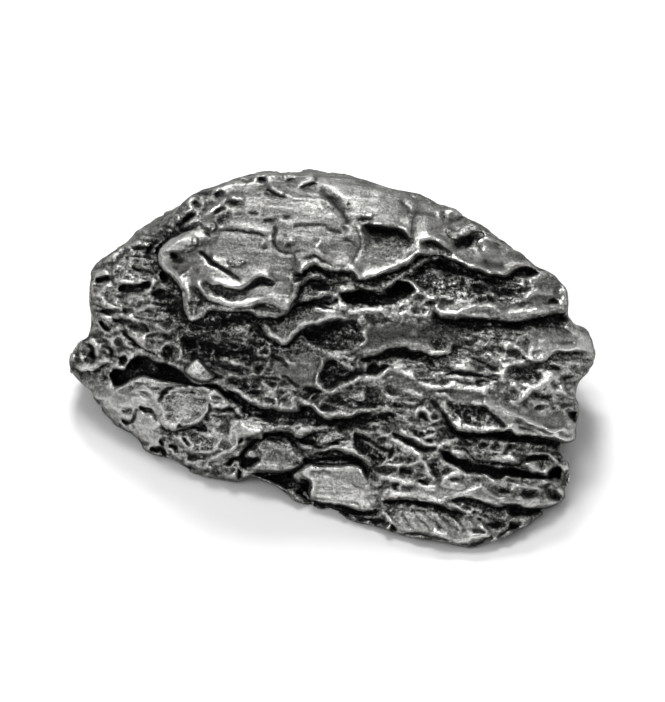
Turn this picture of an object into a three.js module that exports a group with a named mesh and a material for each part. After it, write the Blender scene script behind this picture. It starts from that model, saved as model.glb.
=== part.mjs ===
// An iron meteorite the size of a hand specimen: one solid lump of metal with a smooth top plate,
// folded ledges and pits down its front, and a flat face that it rests on.
// Millimetres, +Z up, the rest face in the plane z = 0. The origin is under the middle of the lump.
import * as THREE from 'three';

// Driving dimensions, in millimetres.
const LENGTH = 110;
const TOP_HEIGHT = 45.6;
const TOP_FALL = 16;
const TOP_CURVE_ALONG = 0.0057;
const TOP_CURVE_ACROSS = 0.02;
const TOP_SUMMIT = { x: -6, y: 20 };
const EDGE_ROUND = 3;

// The lump's plan outline at six heights: its radius every 15 degrees of azimuth, counter-clockwise
// from +X, about a centre line that stands at CENTRE_LINE.
const CENTRE_LINE = { x: 0, y: 10 };
const OUTLINES = [
  { z: 0, radii: [48, 47, 45, 39, 33, 29.5, 28, 29, 33, 40, 47, 50, 49.5, 44, 39, 35.5, 33, 33.5, 37.5, 44,
    55.5, 56.8, 54.5, 50.5] },
  { z: 8, radii: [50, 48.5, 46, 40, 34, 30.5, 29.5, 31, 35, 42, 49.5, 54, 53.5, 45, 38, 33, 29.5, 28, 31, 37,
    46, 53, 54.5, 52] },
  { z: 16, radii: [53.5, 48.5, 44.5, 39, 34, 31, 30, 31.5, 36, 43, 50, 52.5, 49.5, 40, 32.5, 27, 23.5, 22.5,
    25, 29, 36.5, 45, 50.5, 53] },
  { z: 24, radii: [49.5, 44.5, 40.5, 36.5, 32.5, 30.5, 29.5, 31, 35.5, 42, 48.5, 51, 45, 36, 29, 22.5, 18.5,
    17, 19, 22, 27.5, 35, 43, 47.5] },
  { z: 31, radii: [44.5, 39.5, 36, 33, 30.5, 28.5, 28, 29.5, 33.5, 38.5, 41.5, 40, 36, 32, 26, 18.5, 15.5, 14,
    14.5, 16.5, 19, 24, 31, 40] },
  { z: 38, radii: [34, 30, 27.5, 25.5, 25, 25, 25, 26.5, 29, 32.5, 34, 33, 30, 26, 21, 15.5, 12.5, 11, 11, 12,
    14, 18, 24, 30] },
];

// The picture plane in which the front relief is drawn: px across and down, seen from the front and above.
const PICTURE = { left: 40, top: 140, right: 620, bottom: 570 };
const PICTURE_CENTRE = { u: 332.5, v: 351 };
const PX_PER_MM = 4.85;
const EYE_DISTANCE = 650;
const EYE_ELEVATION = THREE.MathUtils.degToRad(40);
const EYE_TARGET = new THREE.Vector3(0, 6, 16);
const FORWARD = new THREE.Vector3(0, Math.cos(EYE_ELEVATION), -Math.sin(EYE_ELEVATION));
const UPWARD = new THREE.Vector3(0, Math.sin(EYE_ELEVATION), Math.cos(EYE_ELEVATION));
const EYE = EYE_TARGET.clone().addScaledVector(FORWARD, -EYE_DISTANCE);

// The outline of the lump in the picture plane, clockwise from its left tip.
const SILHOUETTE = [
  65, 368, 66, 358, 72, 348, 87, 337, 91, 322, 88, 298, 90, 272, 100, 260, 126, 241, 138, 225, 152, 218, 180, 200,
  228, 180, 236, 174, 270, 166, 315, 167, 345, 172, 390, 188, 430, 198, 445, 205, 455, 206, 480, 220, 495, 221,
  507, 227, 517, 238, 528, 257, 551, 270, 567, 286, 569, 311, 575, 324, 589, 330, 596, 345, 596, 356, 578, 383,
  580, 410, 575, 440, 561, 446, 571, 465, 571, 486, 564, 501, 545, 508, 535, 517, 510, 533, 490, 547, 470, 550,
  440, 542, 400, 534, 360, 523, 345, 516, 300, 503, 285, 493, 255, 478, 240, 482, 210, 477, 195, 475, 175, 460,
  145, 450, 130, 432, 100, 411, 90, 396, 72, 377,
];
const SILHOUETTE_ROUND = 1.6;
const SPARE_MARGIN = 1.5;

// The wrapped sheet in which the relief of the hidden sides is drawn: mm round the lump, and mm down from
// the top.
const GIRTH_MM_PER_DEGREE = 0.8;
const WRAP = { left: 0, top: 0, right: 360 * GIRTH_MM_PER_DEGREE, bottom: 48 };

// How square to the eye a place must be for the front relief to take over there.
const FACING_FADE = { from: 0.1, to: 0.34 };

// The grid of faces: cells along, across and up.
const CELLS = { along: 46, across: 33, up: 20 };
const REACH = { inner: 0.25, outer: 1.75, steps: 240 };

const clamp = THREE.MathUtils.clamp;
const smoothstep = THREE.MathUtils.smoothstep;

// A sheet of heights in millimetres. Each feature is pressed into it or raised from it.
class ReliefSheet {
  constructor(area, samplesPerUnit) {
    this.area = area;
    this.rate = samplesPerUnit;
    this.columns = Math.ceil((area.right - area.left) * samplesPerUnit) + 1;
    this.rows = Math.ceil((area.bottom - area.top) * samplesPerUnit) + 1;
    this.height = new Float32Array(this.columns * this.rows);
  }

  // Adds profile(distance, along, length) around a line. The distance is positive on the left hand of
  // someone who walks the line, and inside a closed one.
  stamp(line, reach, closed, profile) {
    const lengths = [0];
    for (let i = 1; i < line.length; i += 1) {
      lengths.push(lengths[i - 1] + line[i].distanceTo(line[i - 1]));
    }
    const box = new THREE.Box2().setFromPoints(line).expandByScalar(reach);
    const from = { column: this.column(box.min.x), row: this.row(box.min.y) };
    const to = { column: this.column(box.max.x), row: this.row(box.max.y) };
    for (let row = from.row; row <= to.row; row += 1) {
      for (let column = from.column; column <= to.column; column += 1) {
        const u = this.area.left + column / this.rate;
        const v = this.area.top + row / this.rate;
        const near = nearestOnLine(line, u, v);
        const inside = closed ? isInside(line, u, v) : near.side > 0;
        const distance = inside ? near.distance : -near.distance;
        if (near.distance <= reach || (closed && inside)) {
          const along = lengths[near.index] + near.part * (lengths[near.index + 1] - lengths[near.index]);
          this.height[row * this.columns + column] += profile(distance, along, lengths[lengths.length - 1]);
        }
      }
    }
  }

  // Fills the sheet with the distance to a closed line, in sheet units: below zero inside it.
  fillDistance(line) {
    for (let row = 0; row < this.rows; row += 1) {
      for (let column = 0; column < this.columns; column += 1) {
        const u = this.area.left + column / this.rate;
        const v = this.area.top + row / this.rate;
        const { distance } = nearestOnLine(line, u, v);
        this.height[row * this.columns + column] = isInside(line, u, v) ? -distance : distance;
      }
    }
  }

  column(u) {
    return clamp(Math.round((u - this.area.left) * this.rate), 0, this.columns - 1);
  }

  row(v) {
    return clamp(Math.round((v - this.area.top) * this.rate), 0, this.rows - 1);
  }

  // Evens the sheet out to what the faces can carry.
  soften(radius, passes) {
    for (let pass = 0; pass < passes; pass += 1) {
      this.height = boxBlur(this.height, this.columns, this.rows, 1, radius);
      this.height = boxBlur(this.height, this.rows, this.columns, this.columns, radius);
    }
  }

  at(u, v) {
    const x = clamp((u - this.area.left) * this.rate, 0, this.columns - 1.001);
    const y = clamp((v - this.area.top) * this.rate, 0, this.rows - 1.001);
    const column = Math.floor(x);
    const row = Math.floor(y);
    const start = row * this.columns + column;
    const upper = THREE.MathUtils.lerp(this.height[start], this.height[start + 1], x - column);
    const below = start + this.columns;
    const lower = THREE.MathUtils.lerp(this.height[below], this.height[below + 1], x - column);
    return THREE.MathUtils.lerp(upper, lower, y - row);
  }
}

// A running mean along lines of count samples, stride apart.
function boxBlur(values, count, lines, stride, radius) {
  const result = new Float32Array(values.length);
  const lineStride = stride === 1 ? count : 1;
  for (let line = 0; line < lines; line += 1) {
    const start = line * lineStride;
    for (let i = 0; i < count; i += 1) {
      let sum = 0;
      for (let k = -radius; k <= radius; k += 1) {
        sum += values[start + clamp(i + k, 0, count - 1) * stride];
      }
      result[start + i * stride] = sum / (2 * radius + 1);
    }
  }
  return result;
}

function nearestOnLine(line, u, v) {
  const best = { distance: Infinity, side: 0, index: 0, part: 0 };
  for (let i = 0; i < line.length - 1; i += 1) {
    const du = line[i + 1].x - line[i].x;
    const dv = line[i + 1].y - line[i].y;
    const wu = u - line[i].x;
    const wv = v - line[i].y;
    const part = clamp((wu * du + wv * dv) / (du * du + dv * dv + 1e-9), 0, 1);
    const distance = Math.hypot(wu - part * du, wv - part * dv);
    if (distance < best.distance) {
      Object.assign(best, { distance, side: wu * dv - wv * du, index: i, part });
    }
  }
  return best;
}

function isInside(line, u, v) {
  let inside = false;
  for (let i = 0; i < line.length - 1; i += 1) {
    const a = line[i];
    const b = line[i + 1];
    if ((a.y > v) !== (b.y > v) && u < ((b.x - a.x) * (v - a.y)) / (b.y - a.y) + a.x) {
      inside = !inside;
    }
  }
  return inside;
}

// Turns [u, v, u, v, ...] into a smooth line.
function smoothLine(numbers, closed = false) {
  const points = [];
  for (let i = 0; i < numbers.length; i += 2) {
    points.push(new THREE.Vector3(numbers[i], numbers[i + 1], 0));
  }
  const curve = new THREE.CatmullRomCurve3(points, closed, 'catmullrom', 0.5);
  return curve.getPoints(points.length * 3).map((point) => new THREE.Vector2(point.x, point.y));
}

// A ledge: raised on the left hand of the line and sunk under it on the right hand.
function ledge(sheet, numbers, { up, down, above, below, taper = 2 * above / 3 }) {
  const reach = 3 * Math.max(above, below);
  sheet.stamp(smoothLine(numbers), reach, false, (distance, along, length) => {
    const ends = smoothstep(along, 0, taper) * smoothstep(length - along, 0, taper);
    return ends * (distance > 0 ? up * Math.exp(-distance / above) : -down * Math.exp(distance / below));
  });
}

// A pit, or a raised patch where the depth is negative: a closed line with a steep wall inside it.
function pit(sheet, numbers, { depth, wall, rim = 0, rimWidth = 6 }) {
  sheet.stamp(smoothLine(numbers, true), 2.5 * rimWidth, true, (distance) => {
    const floor = distance > 0 ? -depth * smoothstep(distance, 0, wall) : 0;
    return floor + rim * Math.exp(-(((distance + rimWidth / 2) / rimWidth) ** 2));
  });
}

// A ridge, or a groove where the height is negative.
function ridge(sheet, numbers, { height, width }) {
  sheet.stamp(smoothLine(numbers), 2.5 * width, false, (distance, along, length) => {
    const ends = smoothstep(along, -width, width) * smoothstep(length - along, -width, width);
    return ends * height * Math.exp(-((distance / width) ** 2));
  });
}

// The front and the top, in px of the picture plane and millimetres of height.
function frontRelief() {
  const sheet = new ReliefSheet(PICTURE, 1);

  // The rim of the top plate, from its left end round to the right tip.
  const plateLeftRim = [196, 228, 182, 233, 168, 241, 159, 252, 160, 266, 173, 277, 182, 292, 185, 311, 197, 321,
    204, 317];
  const plateFrontLip = [186, 284, 198, 289, 203, 297, 217, 302, 234, 306, 252, 305, 269, 301.5, 280, 308,
    297, 302];
  const plateMiddleLip = [290, 273.5, 303, 272, 313, 264, 328, 270, 351, 272, 365, 278, 384, 273, 404, 266,
    415, 258];
  const archLip = [404, 266, 415, 258, 427, 254, 441, 254, 455, 262, 475, 270, 497, 275.5, 513, 271, 537, 268];
  ledge(sheet, plateLeftRim, { up: 1.6, down: 2.4, above: 12, below: 12 });
  ledge(sheet, plateFrontLip, { up: 1.3, down: 3.2, above: 16, below: 14 });
  ledge(sheet, plateMiddleLip, { up: 1.2, down: 2.6, above: 22, below: 14 });
  ledge(sheet, archLip, { up: 1.4, down: 2.8, above: 22, below: 18 });

  // The folds of the top plate.
  const plateCrease = [322, 188, 332, 196, 342, 204, 350, 213, 356, 224, 360, 236, 361, 248];
  const rearFlap = [358, 222, 372, 226, 388, 229, 400, 232, 409, 238, 416, 237];
  const rightFlap = [417, 242, 430, 238, 442, 242, 450, 250, 460, 257];
  const rightPatch = [447, 227, 463, 225, 476, 225, 484, 232, 474, 235, 456, 240, 448, 235];
  const leftPocket = [218, 217, 228, 210, 243, 203, 232, 199, 226, 203, 218, 211];
  ridge(sheet, plateCrease, { height: -1.8, width: 7 });
  ledge(sheet, rearFlap, { up: 1.3, down: 2.4, above: 22, below: 12 });
  ledge(sheet, rightFlap, { up: 1.0, down: 1.8, above: 16, below: 10 });
  pit(sheet, rightPatch, { depth: -1.4, wall: 7 });
  pit(sheet, leftPocket, { depth: 1.8, wall: 6 });

  // The arched pocket under the right of the plate, with its lower rim.
  const archPocket = [397, 278, 416, 266, 437, 257, 450, 262, 470, 272, 500, 281, 523, 291, 512, 302, 470, 300,
    430, 295, 407, 281];
  const pocketRim = [408, 302, 422, 293, 441, 303, 462, 302, 482, 299, 505, 304, 530, 303, 555, 300, 568, 304];
  const pocketRimFoot = [432, 317, 448, 320, 468, 319, 495, 320, 517, 321, 542, 317, 569, 311];
  pit(sheet, archPocket, { depth: 3.2, wall: 14 });
  ridge(sheet, pocketRim, { height: 1.2, width: 9 });
  ledge(sheet, pocketRimFoot, { up: 1.0, down: 2.6, above: 12, below: 10 });

  // The tongue and the cave beside it.
  const tongueFoot = [255, 320, 266, 334, 281, 343, 293, 337, 303, 328, 325, 321, 345, 316];
  const cave = [340, 294, 360, 288, 380, 290, 397, 278, 413, 286, 408, 301, 380, 309, 350, 307];
  const caveFoot = [345, 312, 370, 311, 395, 315, 413, 315, 436, 317];
  ledge(sheet, tongueFoot, { up: 1.2, down: 2.4, above: 14, below: 14 });
  pit(sheet, cave, { depth: 3.2, wall: 9 });
  ridge(sheet, caveFoot, { height: 0.9, width: 6 });

  // The pits of the middle.
  const roundPit = [302, 333, 318, 324, 340, 318, 357, 319, 366, 335, 350, 350, 330, 353, 309, 344];
  const longPit = [334, 359, 319, 372, 318, 383, 328, 390, 347, 383, 371, 376, 386, 370, 372, 361];
  const longPitRim = [386, 370, 405, 371, 422, 382, 440, 386, 463, 387, 489, 391];
  const middleSlot = [360, 358, 385, 351, 407, 347, 425, 353, 415, 360, 385, 361];
  pit(sheet, roundPit, { depth: 2.2, wall: 8, rim: 0.9, rimWidth: 7 });
  pit(sheet, longPit, { depth: 2.2, wall: 7, rim: 0.7, rimWidth: 6 });
  ridge(sheet, longPitRim, { height: 1.0, width: 6 });
  pit(sheet, middleSlot, { depth: 2.4, wall: 5 });

  // The right bulge: its wavy lip, the hollow under it and the pit at its foot.
  const bulgeLip = [496, 344, 511, 349, 530, 361, 542, 361, 558, 352, 575, 352, 590, 353];
  const bulgeRidge = [518, 400, 533, 388, 551, 378, 562, 373];
  const footPit = [447, 401, 470, 401, 488, 408, 504, 426, 478, 430, 459, 427, 447, 413];
  const wedgeRidge = [480, 401, 505, 412, 528, 420, 547, 430, 568, 430];
  const wedgeFoot = [445, 422, 463, 430, 490, 432, 512, 428, 530, 435, 550, 441, 566, 446, 580, 440];
  ledge(sheet, bulgeLip, { up: 1.3, down: 1.6, above: 14, below: 12 });
  ridge(sheet, bulgeRidge, { height: 1.2, width: 8 });
  pit(sheet, footPit, { depth: 2.0, wall: 9, rim: 0.8, rimWidth: 6 });
  ridge(sheet, wedgeRidge, { height: 1.2, width: 9 });
  ledge(sheet, wedgeFoot, { up: 1.4, down: 3.4, above: 18, below: 14 });

  // The long ledges of the front, each with a dark gap under it.
  const leftCaveRoof = [104, 366, 124, 356, 146, 357, 168, 364, 186, 374, 214, 380, 238, 396, 254, 408];
  const middleLedge = [214, 384, 229, 392, 245, 403, 262, 409, 285, 413, 301, 408, 312, 411, 326, 419, 341, 419,
    360, 415];
  const lowerLedge = [240, 431, 262, 431, 285, 433, 300, 438, 318, 432, 342, 426];
  const rightLedge = [352, 431, 372, 434, 390, 440, 410, 450, 426, 459, 440, 450, 460, 441];
  const archedLedge = [300, 452, 320, 452, 334, 450, 350, 454, 362, 460, 369, 472];
  ledge(sheet, leftCaveRoof, { up: 1.2, down: 3.2, above: 16, below: 13 });
  ledge(sheet, middleLedge, { up: 1.4, down: 3.4, above: 20, below: 13 });
  ledge(sheet, lowerLedge, { up: 1.0, down: 2.2, above: 12, below: 10 });
  ledge(sheet, rightLedge, { up: 1.0, down: 1.2, above: 12, below: 12 });
  ledge(sheet, archedLedge, { up: 0.8, down: 2.6, above: 12, below: 10 });

  // The slot at the lower right.
  const slot = [441, 452, 458, 456, 478, 465, 510, 466, 545, 470, 562, 464, 563, 476, 540, 482, 500, 478,
    465, 472, 447, 462];
  pit(sheet, slot, { depth: 3.8, wall: 6, rim: 0.6, rimWidth: 6 });

  // The lowest ledge, its square flap and the gaps under them.
  const flapTop = [368, 478, 359, 464, 330, 465, 306, 465, 295, 470];
  const flapFoot = [306, 480, 310, 501, 335, 504, 362, 510, 379, 503];
  const lowestLedge = [372, 501, 400, 499, 425, 502, 450, 505, 480, 500, 505, 504, 533, 507, 562, 508];
  const flapSideGap = [262, 475, 290, 471, 308, 480, 308, 498, 292, 492, 274, 483];
  ledge(sheet, flapTop, { up: 0.8, down: 1.0, above: 12, below: 8 });
  ledge(sheet, flapFoot, { up: 0.8, down: 3.0, above: 16, below: 10 });
  ledge(sheet, lowestLedge, { up: 1.0, down: 3.0, above: 16, below: 11 });
  pit(sheet, flapSideGap, { depth: 2.6, wall: 6 });

  // The left side: a bowl, the caves beside it and the rim of the lower left lobe.
  const bowl = [160, 395, 178, 390, 200, 396, 208, 404, 198, 414, 176, 416, 162, 410];
  const bowlFoot = [163, 425, 178, 420, 200, 421, 212, 416];
  const lowerBowl = [188, 432, 205, 431, 218, 442, 214, 452, 196, 454, 188, 444];
  const shelfCave = [120, 283, 140, 281, 152, 282, 148, 292, 130, 296, 118, 290];
  const ringPit = [163, 350, 170, 345, 178, 350, 175, 361, 166, 360];
  const leftGap = [176, 425, 190, 424, 206, 424, 210, 432, 195, 431, 178, 429];
  pit(sheet, bowl, { depth: 1.4, wall: 8, rim: 0.7, rimWidth: 6 });
  ledge(sheet, bowlFoot, { up: 0.6, down: 1.4, above: 8, below: 9 });
  pit(sheet, lowerBowl, { depth: 1.4, wall: 7, rim: 0.6, rimWidth: 6 });
  pit(sheet, shelfCave, { depth: 2.4, wall: 5, rim: 0.8, rimWidth: 6 });
  pit(sheet, ringPit, { depth: 1.6, wall: 5, rim: 0.6, rimWidth: 5 });
  pit(sheet, leftGap, { depth: 2.0, wall: 5 });

  sheet.soften(3, 2);
  return sheet;
}

// Turns [azimuth in degrees, height in mm, ...] into places on the wrapped sheet.
function around(numbers) {
  return numbers.map((n, i) => (i % 2 === 0 ? n * GIRTH_MM_PER_DEGREE : WRAP.bottom - n));
}

// The sides that the picture plane doesn't reach: ledges that run on round the lump, and a few pits.
function hiddenRelief() {
  const sheet = new ReliefSheet(WRAP, 2);
  const ledges = [
    { line: [8, 33, 28, 31, 48, 33, 70, 30, 92, 31, 112, 28, 132, 30, 150, 27], up: 0.8, down: 2.4 },
    { line: [5, 23, 22, 20, 40, 22, 58, 19, 74, 21, 86, 18], up: 0.7, down: 2.2 },
    { line: [78, 24, 96, 21, 116, 23, 134, 19, 156, 20, 172, 16], up: 0.8, down: 2.4 },
    { line: [14, 11, 34, 12, 52, 9, 72, 12, 90, 10, 108, 13, 128, 10], up: 0.7, down: 2.2 },
    { line: [118, 7, 140, 9, 160, 6, 176, 8], up: 0.6, down: 1.8 },
    { line: [30, 5, 50, 4, 70, 6, 88, 4, 104, 5], up: 0.5, down: 1.6 },
  ];
  for (const { line, up, down } of ledges) {
    ledge(sheet, around(line), { up, down, above: 3.6, below: 2.6 });
  }
  const pits = [
    [44, 28, 52, 29, 60, 27, 58, 23, 48, 23],
    [100, 18, 110, 19, 116, 16, 108, 14, 100, 15],
    [140, 24, 150, 25, 156, 22, 148, 20, 140, 21],
    [20, 17, 28, 18, 32, 15, 24, 14],
    [64, 16, 72, 16, 74, 13, 66, 13],
  ];
  for (const line of pits) {
    pit(sheet, around(line), { depth: 1.6, wall: 1.6, rim: 0.5, rimWidth: 1.4 });
  }
  sheet.soften(1, 2);
  return sheet;
}

function silhouetteDistance() {
  const sheet = new ReliefSheet(PICTURE, 0.5);
  sheet.fillDistance(smoothLine(SILHOUETTE, true));
  return sheet;
}

const FRONT = frontRelief();
const HIDDEN = hiddenRelief();
const OUTSIDE_VIEW = silhouetteDistance();

// The outline's radius at an azimuth and a height, with round stretches between the listed radii.
function outlineRadius(azimuth, z) {
  const turn = ((azimuth / (2 * Math.PI)) * 24 + 24) % 24;
  const index = Math.floor(turn);
  const part = turn - index;
  const at = ({ radii }) => {
    const [a, b, c, d] = [-1, 0, 1, 2].map((step) => radii[(index + step + 24) % 24]);
    return 0.5 * (2 * b + (c - a) * part + (2 * a - 5 * b + 4 * c - d) * part ** 2
      + (3 * b - a - 3 * c + d) * part ** 3);
  };
  const height = clamp(z, 0, OUTLINES[OUTLINES.length - 1].z);
  const upper = Math.max(1, OUTLINES.findIndex((outline) => outline.z >= height));
  const low = OUTLINES[upper - 1];
  const high = OUTLINES[upper];
  return THREE.MathUtils.lerp(at(low), at(high), (height - low.z) / (high.z - low.z));
}

function topHeight(x, y) {
  const fall = TOP_CURVE_ALONG * (x - TOP_SUMMIT.x) ** 2 + TOP_CURVE_ACROSS * (y - TOP_SUMMIT.y) ** 2;
  return TOP_HEIGHT - TOP_FALL * Math.tanh(fall / TOP_FALL);
}

// The smooth lump, without its relief: below zero inside, above zero outside.
function lump(x, y, z) {
  const dx = x - CENTRE_LINE.x;
  const dy = y - CENTRE_LINE.y;
  const side = 0.8 * (Math.hypot(dx, dy) - outlineRadius(Math.atan2(dy, dx), z));
  const top = 0.95 * (z - topHeight(x, y));
  return smoothMax(side, top, EDGE_ROUND) - SPARE_MARGIN;
}

// The greater of two distances, rounded where they meet.
function smoothMax(a, b, round) {
  const blend = clamp(0.5 + (0.5 * (a - b)) / round, 0, 1);
  return THREE.MathUtils.lerp(b, a, blend) + round * blend * (1 - blend);
}

// The lump with its relief, trimmed to its silhouette.
function meteorite(x, y, z) {
  const value = lump(x, y, z);
  if (Math.abs(value) > 9) {
    return value;
  }
  const step = 0.8;
  const normal = new THREE.Vector3(
    lump(x + step, y, z) - lump(x - step, y, z),
    lump(x, y + step, z) - lump(x, y - step, z),
    lump(x, y, z + step) - lump(x, y, z - step),
  ).normalize();
  const fromEye = new THREE.Vector3(x, y, z).sub(EYE);
  const depth = fromEye.dot(FORWARD);
  const focal = PX_PER_MM * EYE_DISTANCE;
  const u = PICTURE_CENTRE.u + (focal * fromEye.x) / depth;
  const v = PICTURE_CENTRE.v - (focal * fromEye.dot(UPWARD)) / depth;
  const facing = smoothstep(-normal.dot(fromEye.normalize()), FACING_FADE.from, FACING_FADE.to);
  const azimuth = THREE.MathUtils.radToDeg(Math.atan2(y - CENTRE_LINE.y, x - CENTRE_LINE.x));
  const girth = ((azimuth + 360) % 360) * GIRTH_MM_PER_DEGREE;
  const hidden = HIDDEN.at(girth, WRAP.bottom - z) * (1 - smoothstep(normal.z, 0.5, 0.9));
  const carved = value - THREE.MathUtils.lerp(hidden, FRONT.at(u, v), facing);
  return smoothMax(carved, (OUTSIDE_VIEW.at(u, v) * depth) / focal, SILHOUETTE_ROUND);
}

// A place on a box round the lump: along and across run from -1 to 1 and up from 0 to 1. The square plan
// is rounded to an oval one.
function boxPlace(along, across, up) {
  const x = (LENGTH / 2) * along * Math.sqrt(1 - across ** 2 / 2);
  const y = CENTRE_LINE.y + 0.4 * LENGTH * across * Math.sqrt(1 - along ** 2 / 2);
  return new THREE.Vector3(x, y, TOP_HEIGHT * up);
}

// The lump's surface where the line from deep inside it through a place on the box leaves it.
function surfacePoint(place) {
  const middle = new THREE.Vector3(CENTRE_LINE.x, CENTRE_LINE.y, 0);
  const inner = place.clone().sub(middle).multiplyScalar(REACH.inner).add(middle);
  const outer = place.clone().sub(middle).multiplyScalar(REACH.outer).add(middle);
  const value = (part) => {
    const point = outer.clone().lerp(inner, part);
    return meteorite(point.x, point.y, point.z);
  };
  let outside = 0;
  let within = 1;
  for (let i = 1; i <= REACH.steps; i += 1) {
    if (value(i / REACH.steps) < 0) {
      outside = (i - 1) / REACH.steps;
      within = i / REACH.steps;
      break;
    }
  }
  for (let i = 0; i < 12; i += 1) {
    const half = (outside + within) / 2;
    if (value(half) < 0) {
      within = half;
    } else {
      outside = half;
    }
  }
  return outer.lerp(inner, within);
}

// The closed solid: rows of points up the sides, a grid over the top and one flat face underneath.
function meteoriteGeometry() {
  const { along, across, up } = CELLS;
  const points = [];
  const keys = new Map();
  const pointAt = (i, j, k) => {
    const key = `${i},${j},${k}`;
    if (!keys.has(key)) {
      keys.set(key, points.length);
      points.push(surfacePoint(boxPlace((2 * i) / along - 1, (2 * j) / across - 1, k / up)));
    }
    return keys.get(key);
  };
  const faces = [];
  const addCell = (a, b, c, d) => {
    const offSurface = (m, n) => {
      const middle = points[m].clone().lerp(points[n], 0.5);
      return Math.abs(meteorite(middle.x, middle.y, middle.z));
    };
    if (offSurface(a, c) < offSurface(b, d)) {
      faces.push(a, b, c, a, c, d);
    } else {
      faces.push(a, b, d, b, c, d);
    }
  };

  const loop = [];
  for (let i = 0; i < along; i += 1) loop.push([i, 0]);
  for (let j = 0; j < across; j += 1) loop.push([along, j]);
  for (let i = along; i > 0; i -= 1) loop.push([i, across]);
  for (let j = across; j > 0; j -= 1) loop.push([0, j]);
  loop.forEach(([i, j], n) => {
    const [nextI, nextJ] = loop[(n + 1) % loop.length];
    for (let k = 0; k < up; k += 1) {
      addCell(pointAt(i, j, k), pointAt(nextI, nextJ, k), pointAt(nextI, nextJ, k + 1), pointAt(i, j, k + 1));
    }
  });
  for (let i = 0; i < along; i += 1) {
    for (let j = 0; j < across; j += 1) {
      addCell(pointAt(i, j, up), pointAt(i + 1, j, up), pointAt(i + 1, j + 1, up), pointAt(i, j + 1, up));
    }
  }
  const foot = loop.map(([i, j]) => pointAt(i, j, 0));
  const footOutline = foot.map((index) => new THREE.Vector2(points[index].x, points[index].y));
  for (const [a, b, c] of THREE.ShapeUtils.triangulateShape(footOutline, [])) {
    faces.push(foot[a], foot[c], foot[b]);
  }

  const geometry = new THREE.BufferGeometry().setFromPoints(points);
  geometry.setIndex(faces);
  geometry.computeVertexNormals();
  return geometry;
}

const iron = new THREE.MeshStandardMaterial({ color: 0x8b8a88, roughness: 0.42, metalness: 1, flatShading: true });
const stone = new THREE.Mesh(meteoriteGeometry(), iron);
stone.name = 'meteorite';

const group = new THREE.Group();
group.add(stone);
export default group;
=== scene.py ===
# The iron meteorite's finished surface, its floor, light and camera.
# The form is drawn in millimetres, in the frame of the CAD model, and its mesh is made in metres.
# The relief that faces the camera is drawn in a picture plane of 665 by 702 px.
from math import cos, radians, sin

import bpy
import numpy as np
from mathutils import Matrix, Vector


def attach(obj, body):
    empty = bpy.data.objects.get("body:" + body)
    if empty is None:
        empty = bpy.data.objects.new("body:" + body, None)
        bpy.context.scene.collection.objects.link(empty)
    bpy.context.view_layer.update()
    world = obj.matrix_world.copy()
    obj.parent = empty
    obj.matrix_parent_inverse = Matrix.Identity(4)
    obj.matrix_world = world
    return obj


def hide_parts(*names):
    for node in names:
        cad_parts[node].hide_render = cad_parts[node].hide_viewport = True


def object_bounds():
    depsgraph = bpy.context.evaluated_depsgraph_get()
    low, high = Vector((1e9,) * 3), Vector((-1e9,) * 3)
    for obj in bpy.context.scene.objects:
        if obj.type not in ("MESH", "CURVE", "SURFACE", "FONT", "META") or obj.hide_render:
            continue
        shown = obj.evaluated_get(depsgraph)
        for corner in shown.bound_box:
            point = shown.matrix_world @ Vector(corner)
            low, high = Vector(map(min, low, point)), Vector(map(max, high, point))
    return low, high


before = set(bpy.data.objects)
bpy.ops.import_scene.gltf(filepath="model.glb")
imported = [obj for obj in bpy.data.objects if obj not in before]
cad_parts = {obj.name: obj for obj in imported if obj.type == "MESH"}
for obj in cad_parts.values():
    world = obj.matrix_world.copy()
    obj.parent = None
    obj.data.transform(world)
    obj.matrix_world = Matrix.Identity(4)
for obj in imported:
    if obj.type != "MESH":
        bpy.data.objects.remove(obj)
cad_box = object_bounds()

import openvdb
from mathutils import Vector

MM = 0.001

# The camera: its direction, its distance and the scale of the picture.
EYE_ELEVATION = radians(40)
EYE_DISTANCE = 650.0
EYE_TARGET = np.array([0.0, 6.0, 16.0])
PX_PER_MM = 4.85
FOCAL_PX = PX_PER_MM * EYE_DISTANCE
PICTURE_SIZE = (665, 702)
PICTURE_CENTRE = (332.5, 351.0)
SENSOR_MM = 36
FORWARD = np.array([0.0, cos(EYE_ELEVATION), -sin(EYE_ELEVATION)])
UPWARD = np.array([0.0, sin(EYE_ELEVATION), cos(EYE_ELEVATION)])
EYE = EYE_TARGET - EYE_DISTANCE * FORWARD

# The lump: its radius every 15 degrees of azimuth from +X, at six heights, about an upright line.
CENTRE_LINE = (0.0, 10.0)
AZIMUTH_STEP = 15.0
OUTLINES = {
    0: [48, 47, 45, 39, 33, 29.5, 28, 29, 33, 40, 47, 50, 49.5, 44, 39, 35.5, 33, 33.5, 37.5, 44,
        55.5, 56.8, 54.5, 50.5],
    8: [50, 48.5, 46, 40, 34, 30.5, 29.5, 31, 35, 42, 49.5, 54, 53.5, 45, 38, 33, 29.5, 28, 31, 37,
        46, 53, 54.5, 52],
    16: [53.5, 48.5, 44.5, 39, 34, 31, 30, 31.5, 36, 43, 50, 52.5, 49.5, 40, 32.5, 27, 23.5, 22.5,
         25, 29, 36.5, 45, 50.5, 53],
    24: [49.5, 44.5, 40.5, 36.5, 32.5, 30.5, 29.5, 31, 35.5, 42, 48.5, 51, 45, 36, 29, 22.5, 18.5,
         17, 19, 22, 27.5, 35, 43, 47.5],
    31: [44.5, 39.5, 36, 33, 30.5, 28.5, 28, 29.5, 33.5, 38.5, 41.5, 40, 36, 32, 26, 18.5, 15.5, 14,
         14.5, 16.5, 19, 24, 31, 40],
    38: [34, 30, 27.5, 25.5, 25, 25, 25, 26.5, 29, 32.5, 34, 33, 30, 26, 21, 15.5, 12.5, 11, 11, 12,
         14, 18, 24, 30],
}

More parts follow.
